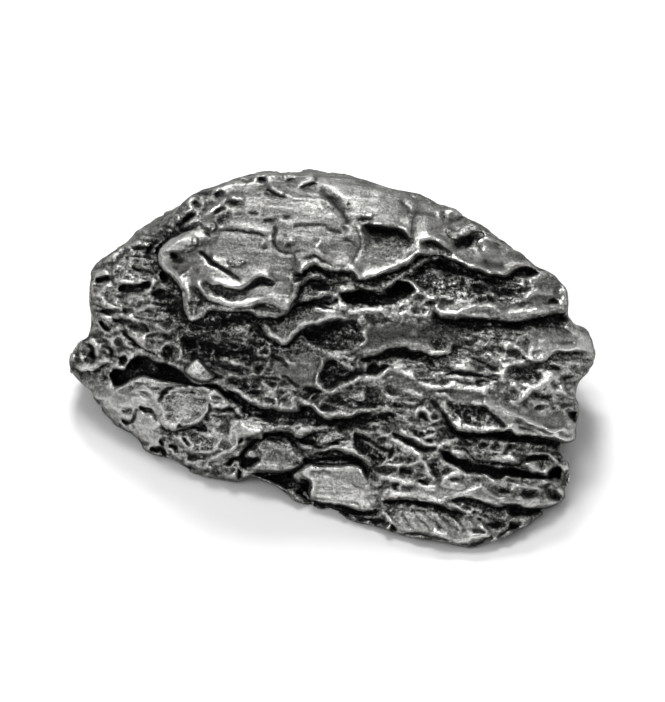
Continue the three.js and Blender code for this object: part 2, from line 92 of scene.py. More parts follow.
# The lump's top: its height, how far it can fall away, its summit and its curve along X and Y.
TOP_HEIGHT = 45.0
TOP_FALL = 16.0
TOP_SUMMIT = (-6.0, 20.0)
TOP_CURVE = (0.0057, 0.02)
EDGE_ROUND = 3.0
SIDE_SLOPE = 0.8
TOP_SLOPE = 0.95

# The lump starts too large by a margin. Its silhouette, the floor and the CAD model's box then cut it.
SPARE_MARGIN = 1.5
SILHOUETTE_ROUND = 1.3
FOOT_ROUND = 0.5
BOX_MARGIN = 0.12
BOX_LOW = np.array(cad_box[0]) / MM + BOX_MARGIN
BOX_HIGH = np.array(cad_box[1]) / MM - BOX_MARGIN
BOX_ROUND = 0.5

# Where the front's relief fades into that of the hidden sides, which lie a little deeper.
FACING_FADE = (0.16, 0.42)
LEVEL_FADE = (0.5, 0.9)
BEHIND_FADE = (-0.25, 0.05)
HIDDEN_INSET = 1.2

# The outline of the lump in the picture plane, clockwise from its left tip.
SILHOUETTE = [
    65, 368, 66, 358, 72, 348, 80, 341, 88, 336, 91, 322, 90, 310, 88, 298, 89, 285, 90, 272, 94, 264,
    100, 259, 107, 255, 118, 246, 126, 241, 129, 236, 132, 230, 138, 225, 145, 223, 152, 218, 160, 212,
    170, 208, 180, 202, 186, 199, 190, 193, 200, 190, 215, 186, 226, 181, 231, 178, 236, 174, 250, 170,
    262, 167, 276, 165.5, 285, 168, 300, 168, 308, 166, 318, 166.5, 330, 168, 345, 172, 365, 179, 390, 188,
    410, 191.5, 422, 194, 433, 200, 440, 204, 455, 205, 462, 211, 472, 216, 482, 218, 495, 221, 507, 227,
    512, 233, 517, 238, 525, 250, 528, 257, 537, 266, 551, 270, 561, 280, 567, 286, 569, 300, 568, 313,
    571, 319, 575, 324, 583, 326, 589, 330, 594, 339, 596, 350, 597, 356, 593, 365, 588, 373, 580, 381,
    577, 388, 576, 398, 579, 403, 581, 410, 580, 420, 577, 428, 578, 436, 575, 441, 568, 443, 562, 444,
    560, 450, 563, 457, 569, 463, 572, 470, 572, 480, 570, 488, 566, 493, 565, 500, 556, 506, 547, 509,
    543, 515, 535, 520, 528, 526, 520, 530, 510, 536, 500, 541, 490, 546, 480, 550, 470, 550, 458, 546,
    440, 542, 420, 539, 400, 535, 380, 528, 360, 524, 348, 520, 342, 515, 330, 510, 315, 509, 303, 506,
    293, 500, 285, 493, 275, 486, 262, 481, 252, 477, 245, 479, 240, 482, 232, 482, 220, 480, 205, 477,
    195, 475, 186, 469, 177, 462, 168, 458, 155, 456, 147, 454, 142, 449, 139, 441, 131, 434, 121, 429,
    110, 423, 100, 413, 93, 404, 90, 395, 84, 389, 75, 380, 68, 373,
]

# The mesh: the voxel in mm, the coarse cell in voxels, and the triangles of the seen side and the rest.
VOXEL = 0.24
COARSE = 3
SEEN_TRIANGLES = 146000
OTHER_TRIANGLES = 48000
GRID_CORNER = (-59.0, -41.0, -2.0)
GRID_SIZE = (118.0, 89.0, 53.0)
BUSY_CELLS = 3.2
CARVE_BATCH = 2000000
FIELD_LIMIT = 3.0

FAR = 1e9
TINY = 1e-12


# Noise: a list of it gives sizes along the axes, and then the strength

def hash_lattice(ix, iy, iz, seed):
    """A repeatable number from 0 to 1 at each whole place."""
    n = (ix * 374761393 + iy * 668265263 + iz * 1442695041 + seed * 974634777) & 0xFFFFFFFF
    n = ((n ^ (n >> 13)) * 1274126177) & 0xFFFFFFFF
    return ((n ^ (n >> 16)) & 0xFFFF) / 65535.0


def noise(x, y, z=None, seed=0):
    """Smooth noise from -1 to 1, with one swing to a unit of length."""
    places = [x, y] if z is None else [x, y, z]
    whole = [np.floor(p).astype(np.int64) for p in places]
    part = [p - w for p, w in zip(places, whole)]
    eased = [p * p * (3 - 2 * p) for p in part]
    total = 0.0
    for corner in range(2 ** len(places)):
        step = [(corner >> k) & 1 for k in range(len(places))]
        weight = 1.0
        for s, e in zip(step, eased):
            weight = weight * (e if s else 1 - e)
        spots = [w + s for w, s in zip(whole, step)] + [0]
        total = total + weight * hash_lattice(spots[0], spots[1], spots[2], seed)
    return total * 2 - 1


def layered_noise(places, layers, seed):
    """The sum of some layers of noise, each with the next seed."""
    total = 0.0
    for step, (*sizes, strength) in enumerate(layers):
        scaled = [place / size for place, size in zip(places, sizes)]
        total = total + strength * noise(*scaled, seed=seed + step)
    return total


def turned(u, v, angle):
    """Places read along a slanted direction of a sheet and across it."""
    c, s = cos(radians(angle)), sin(radians(angle))
    return u * c + v * s, v * c - u * s


# Curves

def ease(x, low, high):
    """Goes smoothly from 0 to 1 between two values."""
    t = np.clip((x - low) / (high - low), 0, 1)
    return t * t * (3 - 2 * t)


def smooth_step(a, b, c, d, t):
    """Goes from b to c as t goes from 0 to 1, in line with a before and d after."""
    square, cube = 2 * a - 5 * b + 4 * c - d, 3 * b - a - 3 * c + d
    return 0.5 * (2 * b + (c - a) * t + square * t ** 2 + cube * t ** 3)


def smooth_line(numbers, closed=False, steps=4):
    """Turns [u, v, u, v, ...] into a smooth line through those places."""
    p = np.array(numbers, float).reshape(-1, 2)
    if closed:
        ring = np.vstack([p[-1], p, p[0], p[1]])
    else:
        ring = np.vstack([2 * p[0] - p[1], p, 2 * p[-1] - p[-2]])
    t = np.linspace(0, 1, steps, endpoint=False)[:, None]
    runs = [smooth_step(a, b, c, d, t) for a, b, c, d in zip(ring[:-3], ring[1:-2], ring[2:-1], ring[3:])]
    runs.append(ring[-2][None])
    return np.vstack(runs)


# Sheets of relief. Places and widths on them are in px, and heights are in mm.

# How a drawn line strays from its true place, and how the height of what is drawn varies.
STRAY = [(13, 11, 1.5), (5.5, 5, 0.8), (2.6, 2.6, 0.4)]
STRAY_SHARE = 0.9
VARY = [(19, 12, 0.4)]

# A ledge: its ends' taper, its lip, and the rise and drop for a full painted highlight, painted shade and
# grain.
LEDGE_TAPER = 14.0
LIP_DISTANCE = 4.5
LIP_WIDTH = 3.2
LIP_ROUND = 0.45
LIP_BRIGHT = 0.5
BRIGHT_RISE = 1.2
DARK_DROP = 2.6
GRAIN_DROP = 2.0

# A pit: how far round it the sheet is changed, and its rim.
PIT_REACH = 9
PIT_RIM_WIDTH = 2.2
PIT_RIM_HEIGHT = 0.12

# A ridge: how much it is heightened, and how much wider it is than a groove.
RIDGE_GAIN = 1.25
RIDGE_SPREAD = 1.25

# Painted shade darkens what is sunk and painted highlight brightens what stands proud, with oxide and wear.
# How strongly the tone follows the relief at three sizes: radius in px, height in mm, strength.
TONE_SCALES = [(1.5, 0.11, 0.12), (5, 0.55, 0.20), (16, 1.3, 0.17)]
# How far painted shade and oxide darken the tone, painted highlight and wear brighten it, unevenly in
# patches.
TONE_OF_OXIDE_AND_SHADE = 0.17
TONE_OF_WEAR_AND_HIGHLIGHT = 0.115
WEAR_AND_HIGHLIGHT_PATCHES = [(15, 10, 1), (5, 4, 0.5)]


class Sheet:
    """Heights in millimetres, painted dark and bright for shade, highlight, oxide and wear, and grain, on a
    flat sheet in px.
    """

    def __init__(self, left, top, right, bottom, rate, stray=STRAY_SHARE):
        self.left, self.top, self.rate = left, top, rate
        self.shape = (int((bottom - top) * rate) + 1, int((right - left) * rate) + 1)
        rows, columns = np.mgrid[0:self.shape[0], 0:self.shape[1]]
        self.u = left + columns / rate
        self.v = top + rows / rate
        self.drawn_u = self.u + stray * layered_noise((self.u, self.v), STRAY, 1)
        self.drawn_v = self.v + stray * layered_noise((self.u, self.v), STRAY, 4)
        self.vary = 1 + layered_noise((self.u, self.v), VARY, 7)
        self.height, self.dark, self.bright, self.grain = (np.zeros(self.shape) for _ in range(4))

    def window(self, points, reach):
        """The rows and columns that lie within reach of some points."""
        low = ((points.min(axis=0) - reach - (self.left, self.top)) * self.rate).astype(int)
        high = ((points.max(axis=0) + reach - (self.left, self.top)) * self.rate).astype(int) + 1
        columns = slice(max(low[0], 0), min(high[0], self.shape[1]))
        rows = slice(max(low[1], 0), min(high[1], self.shape[0]))
        return rows, columns

    def near(self, line, reach, closed=False):
        """The window round a line, each sample's distance from it and its place along it. The distance is
        positive on the left hand of someone who walks the line, and inside a closed one."""
        area = self.window(line, reach)
        u, v = self.drawn_u[area], self.drawn_v[area]
        best = np.full(u.shape, FAR)
        side = np.full(u.shape, -1.0)
        along = np.zeros(u.shape)
        inside = np.zeros(u.shape, bool)
        walked = 0.0
        for a, b in zip(line[:-1], line[1:]):
            if closed:
                crosses = (a[1] > v) != (b[1] > v)
                edge = (b[0] - a[0]) * (v - a[1]) / (b[1] - a[1] + TINY) + a[0]
                inside ^= crosses & (u < edge)
            part = self.window(np.array([a, b]), reach + 2)
            cell = tuple(slice(max(near.start - whole.start, 0), min(near.stop - whole.start, size))
                         for near, whole, size in zip(part, area, u.shape))
            du, dv = b - a
            span = du * du + dv * dv + TINY
            wu, wv = u[cell] - a[0], v[cell] - a[1]
            t = np.clip((wu * du + wv * dv) / span, 0, 1)
            distance = np.hypot(wu - t * du, wv - t * dv)
            closer = distance < best[cell]
            best[cell] = np.where(closer, distance, best[cell])
            side[cell] = np.where(closer, np.sign(wu * dv - wv * du), side[cell])
            along[cell] = np.where(closer, walked + t * span ** 0.5, along[cell])
            walked += span ** 0.5
        if closed:
            side = np.where(inside, 1.0, -1.0)
        best = np.where(best == FAR, reach, best)
        return area, best * side, along, walked

    def ledge(self, line, up, down, above, below, bead):
        """Raised on the left hand of the line with a rounded lip, and sunk under it on the right hand."""
        area, s, along, length = self.near(smooth_line(line), 3 * max(above, below))
        taper = min(LEDGE_TAPER, length / 3)
        ends = ease(along, 0, taper) * ease(length - along, 0, taper)
        raised = up * np.exp(-np.maximum(s, 0) / above)
        raised = raised + bead * np.exp(-((s - LIP_DISTANCE) / LIP_WIDTH) ** 2)
        raised -= LIP_ROUND * (up + down) * np.clip(1 - s / LIP_DISTANCE, 0, 1) ** 2
        sunk = -down * np.exp(np.minimum(s, 0) / below)
        self.height[area] += ends * self.vary[area] * np.where(s > 0, raised, sunk)
        # Painted highlight and wear brighten the lip; painted shade and oxide darken the side under it.
        lip = np.exp(-((s - 0.7 * LIP_DISTANCE) / LIP_WIDTH) ** 2)
        self.bright[area] += ends * LIP_BRIGHT * lip * min(1, (up + bead) / BRIGHT_RISE)
        self.dark[area] += ends * np.where(s < 0, np.exp(s / (0.6 * below)), 0) * min(1.0, down / DARK_DROP)
        self.grain[area] += ends * np.where(s < 0, np.exp(s / below), 0) * min(1.0, down / GRAIN_DROP)

    def pit(self, line, depth, wall, dark, grain):
        """A hollow inside a closed line, with a steep upper wall and a gentler lower one."""
        points = smooth_line(line, closed=True)
        area, s, _, _ = self.near(points, PIT_REACH, closed=True)
        top, bottom = points[:, 1].min(), points[:, 1].max()
        low = np.clip((self.drawn_v[area] - top) / (bottom - top), 0, 1)
        inside = ease(s, -0.4, wall * (1 + 1.2 * low))
        deep = inside * (1.15 - 0.5 * low) * self.vary[area]
        rim = np.exp(-((s + PIT_RIM_WIDTH) / PIT_RIM_WIDTH) ** 2)
        self.height[area] += PIT_RIM_HEIGHT * rim - depth * deep
        # Painted shade and oxide darken the hollow, most under its steep upper wall.
        self.dark[area] += dark * deep
        self.grain[area] += grain * ease(s, 0, wall)

    def mound(self, line, height, wall, bright, grain):
        """A raised patch inside a closed line."""
        area, s, _, _ = self.near(smooth_line(line, closed=True), 4, closed=True)
        share = np.clip(s / wall, 0, 1)
        self.height[area] += height * np.sqrt(share * (2 - share))
        # Painted highlight and wear brighten the mound.
        self.bright[area] += bright * ease(s, 0, 2)
        self.grain[area] += grain * ease(s, 0, 2)

    def ridge(self, line, height, width):
        """A rounded ridge, or a groove where the height is negative."""
        area, s, along, length = self.near(smooth_line(line), 2.6 * width)
        taper = min(2.5 * width, length / 3)
        ends = ease(along, -0.2, taper) * ease(length - along, -0.2, taper)
        broad = RIDGE_SPREAD * width if height > 0 else width
        shape = RIDGE_GAIN * ends * self.vary[area] * np.exp(-(s / broad) ** 2)
        self.height[area] += height * shape
        # Painted highlight and wear brighten a ridge; painted shade and oxide darken a groove.
        self.bright[area] += max(0.0, min(0.8, height)) * shape
        self.dark[area] += max(0.0, min(1.0, -1.1 * height)) * shape

    def knob(self, u, v, radius, height):
        """A small knob, or a small pit where the height is negative."""
        area = self.window(np.array([[u, v]]), 2.5 * radius)
        shape = np.exp(-((self.drawn_u[area] - u) ** 2 + (self.drawn_v[area] - v) ** 2) / radius ** 2)
        self.height[area] += height * shape
        # Painted highlight and wear brighten a knob; painted shade and oxide darken a small pit.
        self.bright[area] += max(0.0, height) * shape
        self.dark[area] += max(0.0, -height) * shape

    def soften(self, layer, radius):
        """A layer smoothed over a radius in px."""
        reach = max(1, int(radius * self.rate))
        for _ in range(2):
            for axis in (0, 1):
                before = np.repeat(layer.take([0], axis), reach + 1, axis)
                after = np.repeat(layer.take([-1], axis), reach, axis)
                total = np.cumsum(np.concatenate([before, layer, after], axis), axis, dtype=np.float64)
                size = layer.shape[axis]
                ahead = total.take(range(2 * reach + 1, 2 * reach + 1 + size), axis)
                behind = total.take(range(0, size), axis)
                layer = (ahead - behind) / (2 * reach + 1)
        return layer

    def find_tone(self, middle, smooth):
        """The relief as a tone from 0 to 1: painted shade and oxide where sunk, painted highlight and wear
        where proud.
        """
        tone = middle - TONE_OF_OXIDE_AND_SHADE * np.clip(self.dark, 0, 1.3) + TONE_OF_WEAR_AND_HIGHLIGHT * np.clip(self.bright, 0, 1)
        patches = layered_noise((self.u, self.v), WEAR_AND_HIGHLIGHT_PATCHES, 5)
        wear_and_highlight = np.clip(0.72 + 0.62 * patches, 0.15, 1.4)
        for radius, height, strength in TONE_SCALES:
            relief = np.tanh((self.height - self.soften(self.height, radius)) / height)
            tone = tone + strength * (1 - 0.45 * smooth) * relief * np.where(relief > 0, wear_and_highlight, 1.0)
        self.tone = np.clip(tone, 0, 1)

    def region(self, line, fade):
        """A mask that is 1 inside a closed line and falls to 0 over the fade."""
        area, s, _, _ = self.near(smooth_line(line, closed=True), fade, closed=True)
        mask = np.zeros(self.shape)
        mask[area] = ease(s, -fade, fade)
        return mask

    def at(self, layer, u, v):
        """A layer's value at any place, between its samples."""
        x = np.clip((u - self.left) * self.rate, 0, self.shape[1] - 1.001)
        y = np.clip((v - self.top) * self.rate, 0, self.shape[0] - 1.001)
        column, row = x.astype(np.int32), y.astype(np.int32)
        fx, fy = x - column, y - row
        upper = layer[row, column] * (1 - fx) + layer[row, column + 1] * fx
        lower = layer[row + 1, column] * (1 - fx) + layer[row + 1, column + 1] * fx
        return upper * (1 - fy) + lower * fy


# The relief of the top and the front

# The part of the picture plane that it is drawn on: left, top, right and bottom, and its samples to a px.
FRONT_AREA = (36, 136, 624, 576)
FRONT_RATE = 2.0

# Ledges: line, how far it rises and sinks, how far that reaches above and below, and its bead.
LEDGES = [
    # the folds of the top plate
    ([361, 224, 371, 226, 380, 228, 388, 229, 396, 229.5, 401, 232.5, 405, 236, 410, 238.5, 416, 237], 1.2,
     2.8, 16, 11, 0.6),
    ([417, 243, 424, 242, 430, 241.5, 436, 243, 441, 246, 446, 249.5, 451, 252, 457, 254], 0.8, 2, 12, 9,
     0.5),
    ([452, 240, 457, 240, 462, 237.5, 468, 236, 474, 232.5, 480, 231.5, 486, 236.5], 0.5, 2.2, 9, 8, 0.3),
    ([300, 262, 308, 257, 314, 256, 320, 259, 328, 263.5, 336, 266, 346, 266.5, 356, 268], 0.5, 0.7, 12, 8,
     0.3),
    ([219, 230, 226, 229.5, 234, 229, 241, 229.5, 248, 231.5, 254, 233, 260, 235, 266, 236, 273, 237], 0.4,
     0.6, 5, 2.5, 0.2),
    ([262, 187, 267, 188.5, 271, 191.5, 276, 194.5, 282, 197.5, 288, 198.5], 0.5, 0.6, 6, 4, 0.3),
    ([297, 188, 301, 186, 306, 184.5, 312, 184, 319, 182.5], 0.45, 0.7, 6, 4, 0.3),
    ([283, 181, 288, 179, 293, 177.5, 297, 177], 0.4, 0.6, 5, 4, 0.3),
    ([356, 216.5, 360, 218, 364, 218.5, 370, 218, 375, 215], 0.3, 0.9, 4, 4, 0.2),
    ([262, 220.5, 268, 220, 273, 220, 278, 218], 0.35, 0.5, 4, 3, 0.2),
    ([284, 247, 289, 245.5, 296, 243.5], 0.25, 0.35, 4, 3, 0.2),
    ([200, 280.5, 206, 282.5, 212, 285.5, 219, 287.5, 226, 289.5, 233, 290.5, 239, 290.5, 243, 289.5, 247,
     286, 252, 282.5, 257, 279, 262, 278, 268, 280, 274, 280, 280, 278], 0.8, 1.2, 12, 7, 0.4),
    # the rim of the top plate
    ([196, 228, 190, 230, 182, 233, 174, 237, 168, 241, 163, 246, 159, 252, 158, 259, 160, 266, 166, 272,
     173, 277, 178, 284, 182, 292, 183, 301, 185, 311, 190, 321, 197, 321.5, 204, 317], 1.4, 2.4, 14, 12,
     0.2),
    ([190, 322, 197, 322, 204, 317.5, 210, 312.5, 220, 311.5, 230, 312, 240, 311.5, 248, 312.5, 252, 314.5,
     256, 317.5, 262, 318.5, 272, 317.5, 279, 317.5, 287, 314.5, 293, 310, 297, 304, 300, 297], 1.1, 2.8, 9,
     11, 0.2),
    ([186, 285, 192, 287, 198, 290, 203, 298, 210, 301.5, 217, 304, 225, 306.5, 234, 308, 243, 307.5, 252,
     307, 258, 305, 263, 304, 269, 303.5, 274, 305, 280, 310, 287, 311, 292, 310, 297, 304], 0.8, 0.7, 15,
     7, 0.6),
    ([290, 274, 300, 273.5, 303, 272.5, 308, 268, 313, 265, 316, 266, 322, 269, 328, 271.5, 336, 272.5, 345,
     272.5, 351, 273.5, 355, 276.5, 359, 279.5, 365, 279.5, 371, 278.5, 378, 276.5, 384, 274.5, 390, 273.5,
     398, 270.5, 404, 267.5, 411, 264.5, 415, 259.5, 420, 256.5, 427, 255.5, 435, 255.5, 441, 255.5, 446,
     257.5, 450, 261.5, 455, 263.5, 462, 266.5, 468, 269.5, 475, 271.5, 483, 273.5, 490, 276.5, 497, 277,
     505, 276.5, 513, 272.5, 516, 269.5, 522, 268.5, 530, 268.5, 537, 269.5], 1.1, 1.7, 19, 9, 0.7),
    ([351, 282, 357, 286, 363, 289, 370, 291, 378, 292, 385, 290, 391, 286, 394, 281, 397, 278], 0.4, 1.8,
     6, 8, 0.2),
    ([290, 310, 293, 303, 298, 295, 302, 286, 310, 280.5, 318, 280, 332, 278.5], 0.8, 1.3, 10, 8, 0.5),
    ([295, 305, 305, 302.5, 315, 300, 322, 298, 330, 296, 338, 293], 0.6, 1.4, 7, 6, 0.4),
    ([255, 320, 260, 325, 264, 330, 266, 335, 270, 338, 276, 341, 281, 344, 286, 343.5, 290, 341, 294,
     337.5, 300, 332.5, 303, 329, 310, 326, 318, 325, 325, 322, 333, 320, 338, 318, 345, 317], 0.9, 2, 9, 9,
     0.6),
    # the lower rim of the arched pocket
    ([430, 309, 437, 315, 441, 318.5, 448, 320.5, 458, 320.5, 468, 319.5, 478, 318.5, 485, 319.5, 495,
     320.5, 505, 320.5, 510, 321.5, 517, 321.5, 524, 320.5, 533, 318.5, 542, 317.5, 550, 315.5, 560, 313.5,
     569, 311.5], 0.8, 3, 9, 10, 0),
    # the middle
    ([356, 358.5, 360, 358, 366, 358, 372, 356, 380, 354, 387, 351, 394, 349, 407, 349, 409, 353, 414, 351,
     425, 354, 430, 357, 436, 357, 442, 355, 449, 354, 453, 351, 453, 346, 460, 345, 466, 345], 0.6, 1.5,
     14, 6, 0.4),
    ([425, 355, 429, 360, 434, 366, 438, 369], 0.4, 1, 6, 6, 0.3),
    ([300, 389, 308, 387, 316, 389, 322, 392, 327, 394], 0.6, 1.5, 10, 6, 0.4),
    ([346, 395, 350, 399, 357, 401, 363, 400, 366, 397, 367, 390, 365, 384], 0.5, 1.1, 7, 6, 0.3),
    ([122, 328, 128, 336, 134, 341, 140, 346, 147, 350.5, 154, 352, 158, 356.5, 162, 358.5], 0.7, 1.3, 8, 6,
     0.4),
    ([70, 368, 72, 367, 80, 371, 88, 372, 95, 371, 99, 367, 104, 364, 110, 362, 114, 363], 0.7, 0.9, 8, 8,
     0.5),
    # the right bulge and the wedge under it
    ([496, 345, 503, 348, 511, 350, 517, 353, 522, 356, 526, 359, 530, 362, 536, 363, 542, 362, 547, 359,
     552, 355, 558, 353, 566, 353, 575, 353, 583, 352, 590, 354], 0.9, 1.1, 12, 9, 0.7),
    ([446, 419, 450, 424, 455, 428, 463, 431, 472, 432, 485, 432.5, 500, 431.5, 510, 431, 516, 434, 525,
     436.5, 535, 437.5, 545, 439.5, 553, 441.5, 561, 444, 570, 444.5, 576, 442], 0.9, 3.2, 10, 9, 0.3),
    ([463, 446, 468, 450.5, 472, 455.5, 477, 459.5, 483, 461.5, 490, 460.5, 498, 461.5, 503, 464.5, 510,
     465, 517, 464, 522, 461, 522, 455], 0.6, 1.8, 7, 6, 0.5),
    # the long middle ledge
    ([222, 387, 229, 391, 236, 394, 242, 399, 248, 404, 254, 406, 262, 408.5, 272, 410, 280, 412.5, 290,
     413, 299, 412, 303, 408, 310, 408, 313, 410.5, 318, 415, 324, 420, 330, 419.5, 335, 417.5, 342, 418.5,
     350, 419.5, 355, 417.5, 360, 415.5, 366, 413, 376, 410], 1.1, 3.2, 11, 9, 0.3),
    # the lower ledges
    ([240, 441, 245, 438.5, 250, 438, 256, 438.5, 262, 437.5, 264, 432.5, 270, 431.5, 278, 432, 285, 434,
     292, 435, 296, 437.5, 303, 438.5, 310, 435.5, 316, 432.5, 322, 430], 0.7, 2.1, 9, 7, 0.3),
    ([210, 407, 216, 407.5, 222, 408, 228, 407.5, 233, 408, 236, 413, 240, 416, 245, 417.5], 0.6, 1.3, 6, 4,
     0.4),
    ([158, 417, 162, 426, 170, 431, 178, 429.5, 186, 428, 194, 425.5, 202, 421, 209, 415], 0.4, 1.5, 7, 6,
     0.2),
    ([313, 453, 320, 452.5, 326, 450.5, 332, 450, 337, 451.5, 343, 453, 350, 455, 356, 457.5, 360, 460.5,
     364, 465.5, 367, 470], 0.7, 2.4, 8, 6, 0.6),
    ([243, 475, 255, 473, 265, 472, 275, 473, 285, 472.5, 293, 470.5, 300, 469], 0.5, 1.8, 7, 6, 0.4),
    # the square flap
    ([369, 486, 367, 478, 365, 472, 362, 467, 359, 464, 352, 463, 345, 463.5, 336, 464, 328, 465, 320,
     465.5, 312, 465, 306, 465, 300, 469, 295, 472, 295, 479], 0.9, 1.7, 10, 6, 0.6),
    ([296, 480, 303, 480.5, 308, 481, 309, 488, 309, 496, 311, 501, 320, 502.5, 327, 503.5, 335, 505, 345,
     507, 353, 510, 362, 511, 370, 511, 376, 509, 379, 503], 0.8, 3.2, 9, 8, 0.3),
    ([309, 472, 316, 473, 324, 474.5, 330, 476.5], 0.3, 0.4, 6, 3, 0.2),
    # the lowest ledge
    ([378, 501, 384, 500.5, 392, 500, 400, 499.5, 410, 500, 420, 501, 428, 503, 436, 504.5, 443, 507, 450,
     510, 460, 512, 468, 513], 0.7, 2.7, 8, 6, 0.3),
    ([446, 499, 456, 499, 465, 498.5, 473, 499.5, 481, 501.5, 488, 504.5, 495, 507, 500, 507.5, 508, 505,
     517, 506, 525, 508, 533, 508.5, 545, 509, 553, 509.5, 562, 507.5], 0.8, 2.3, 8, 7, 0.3),
]
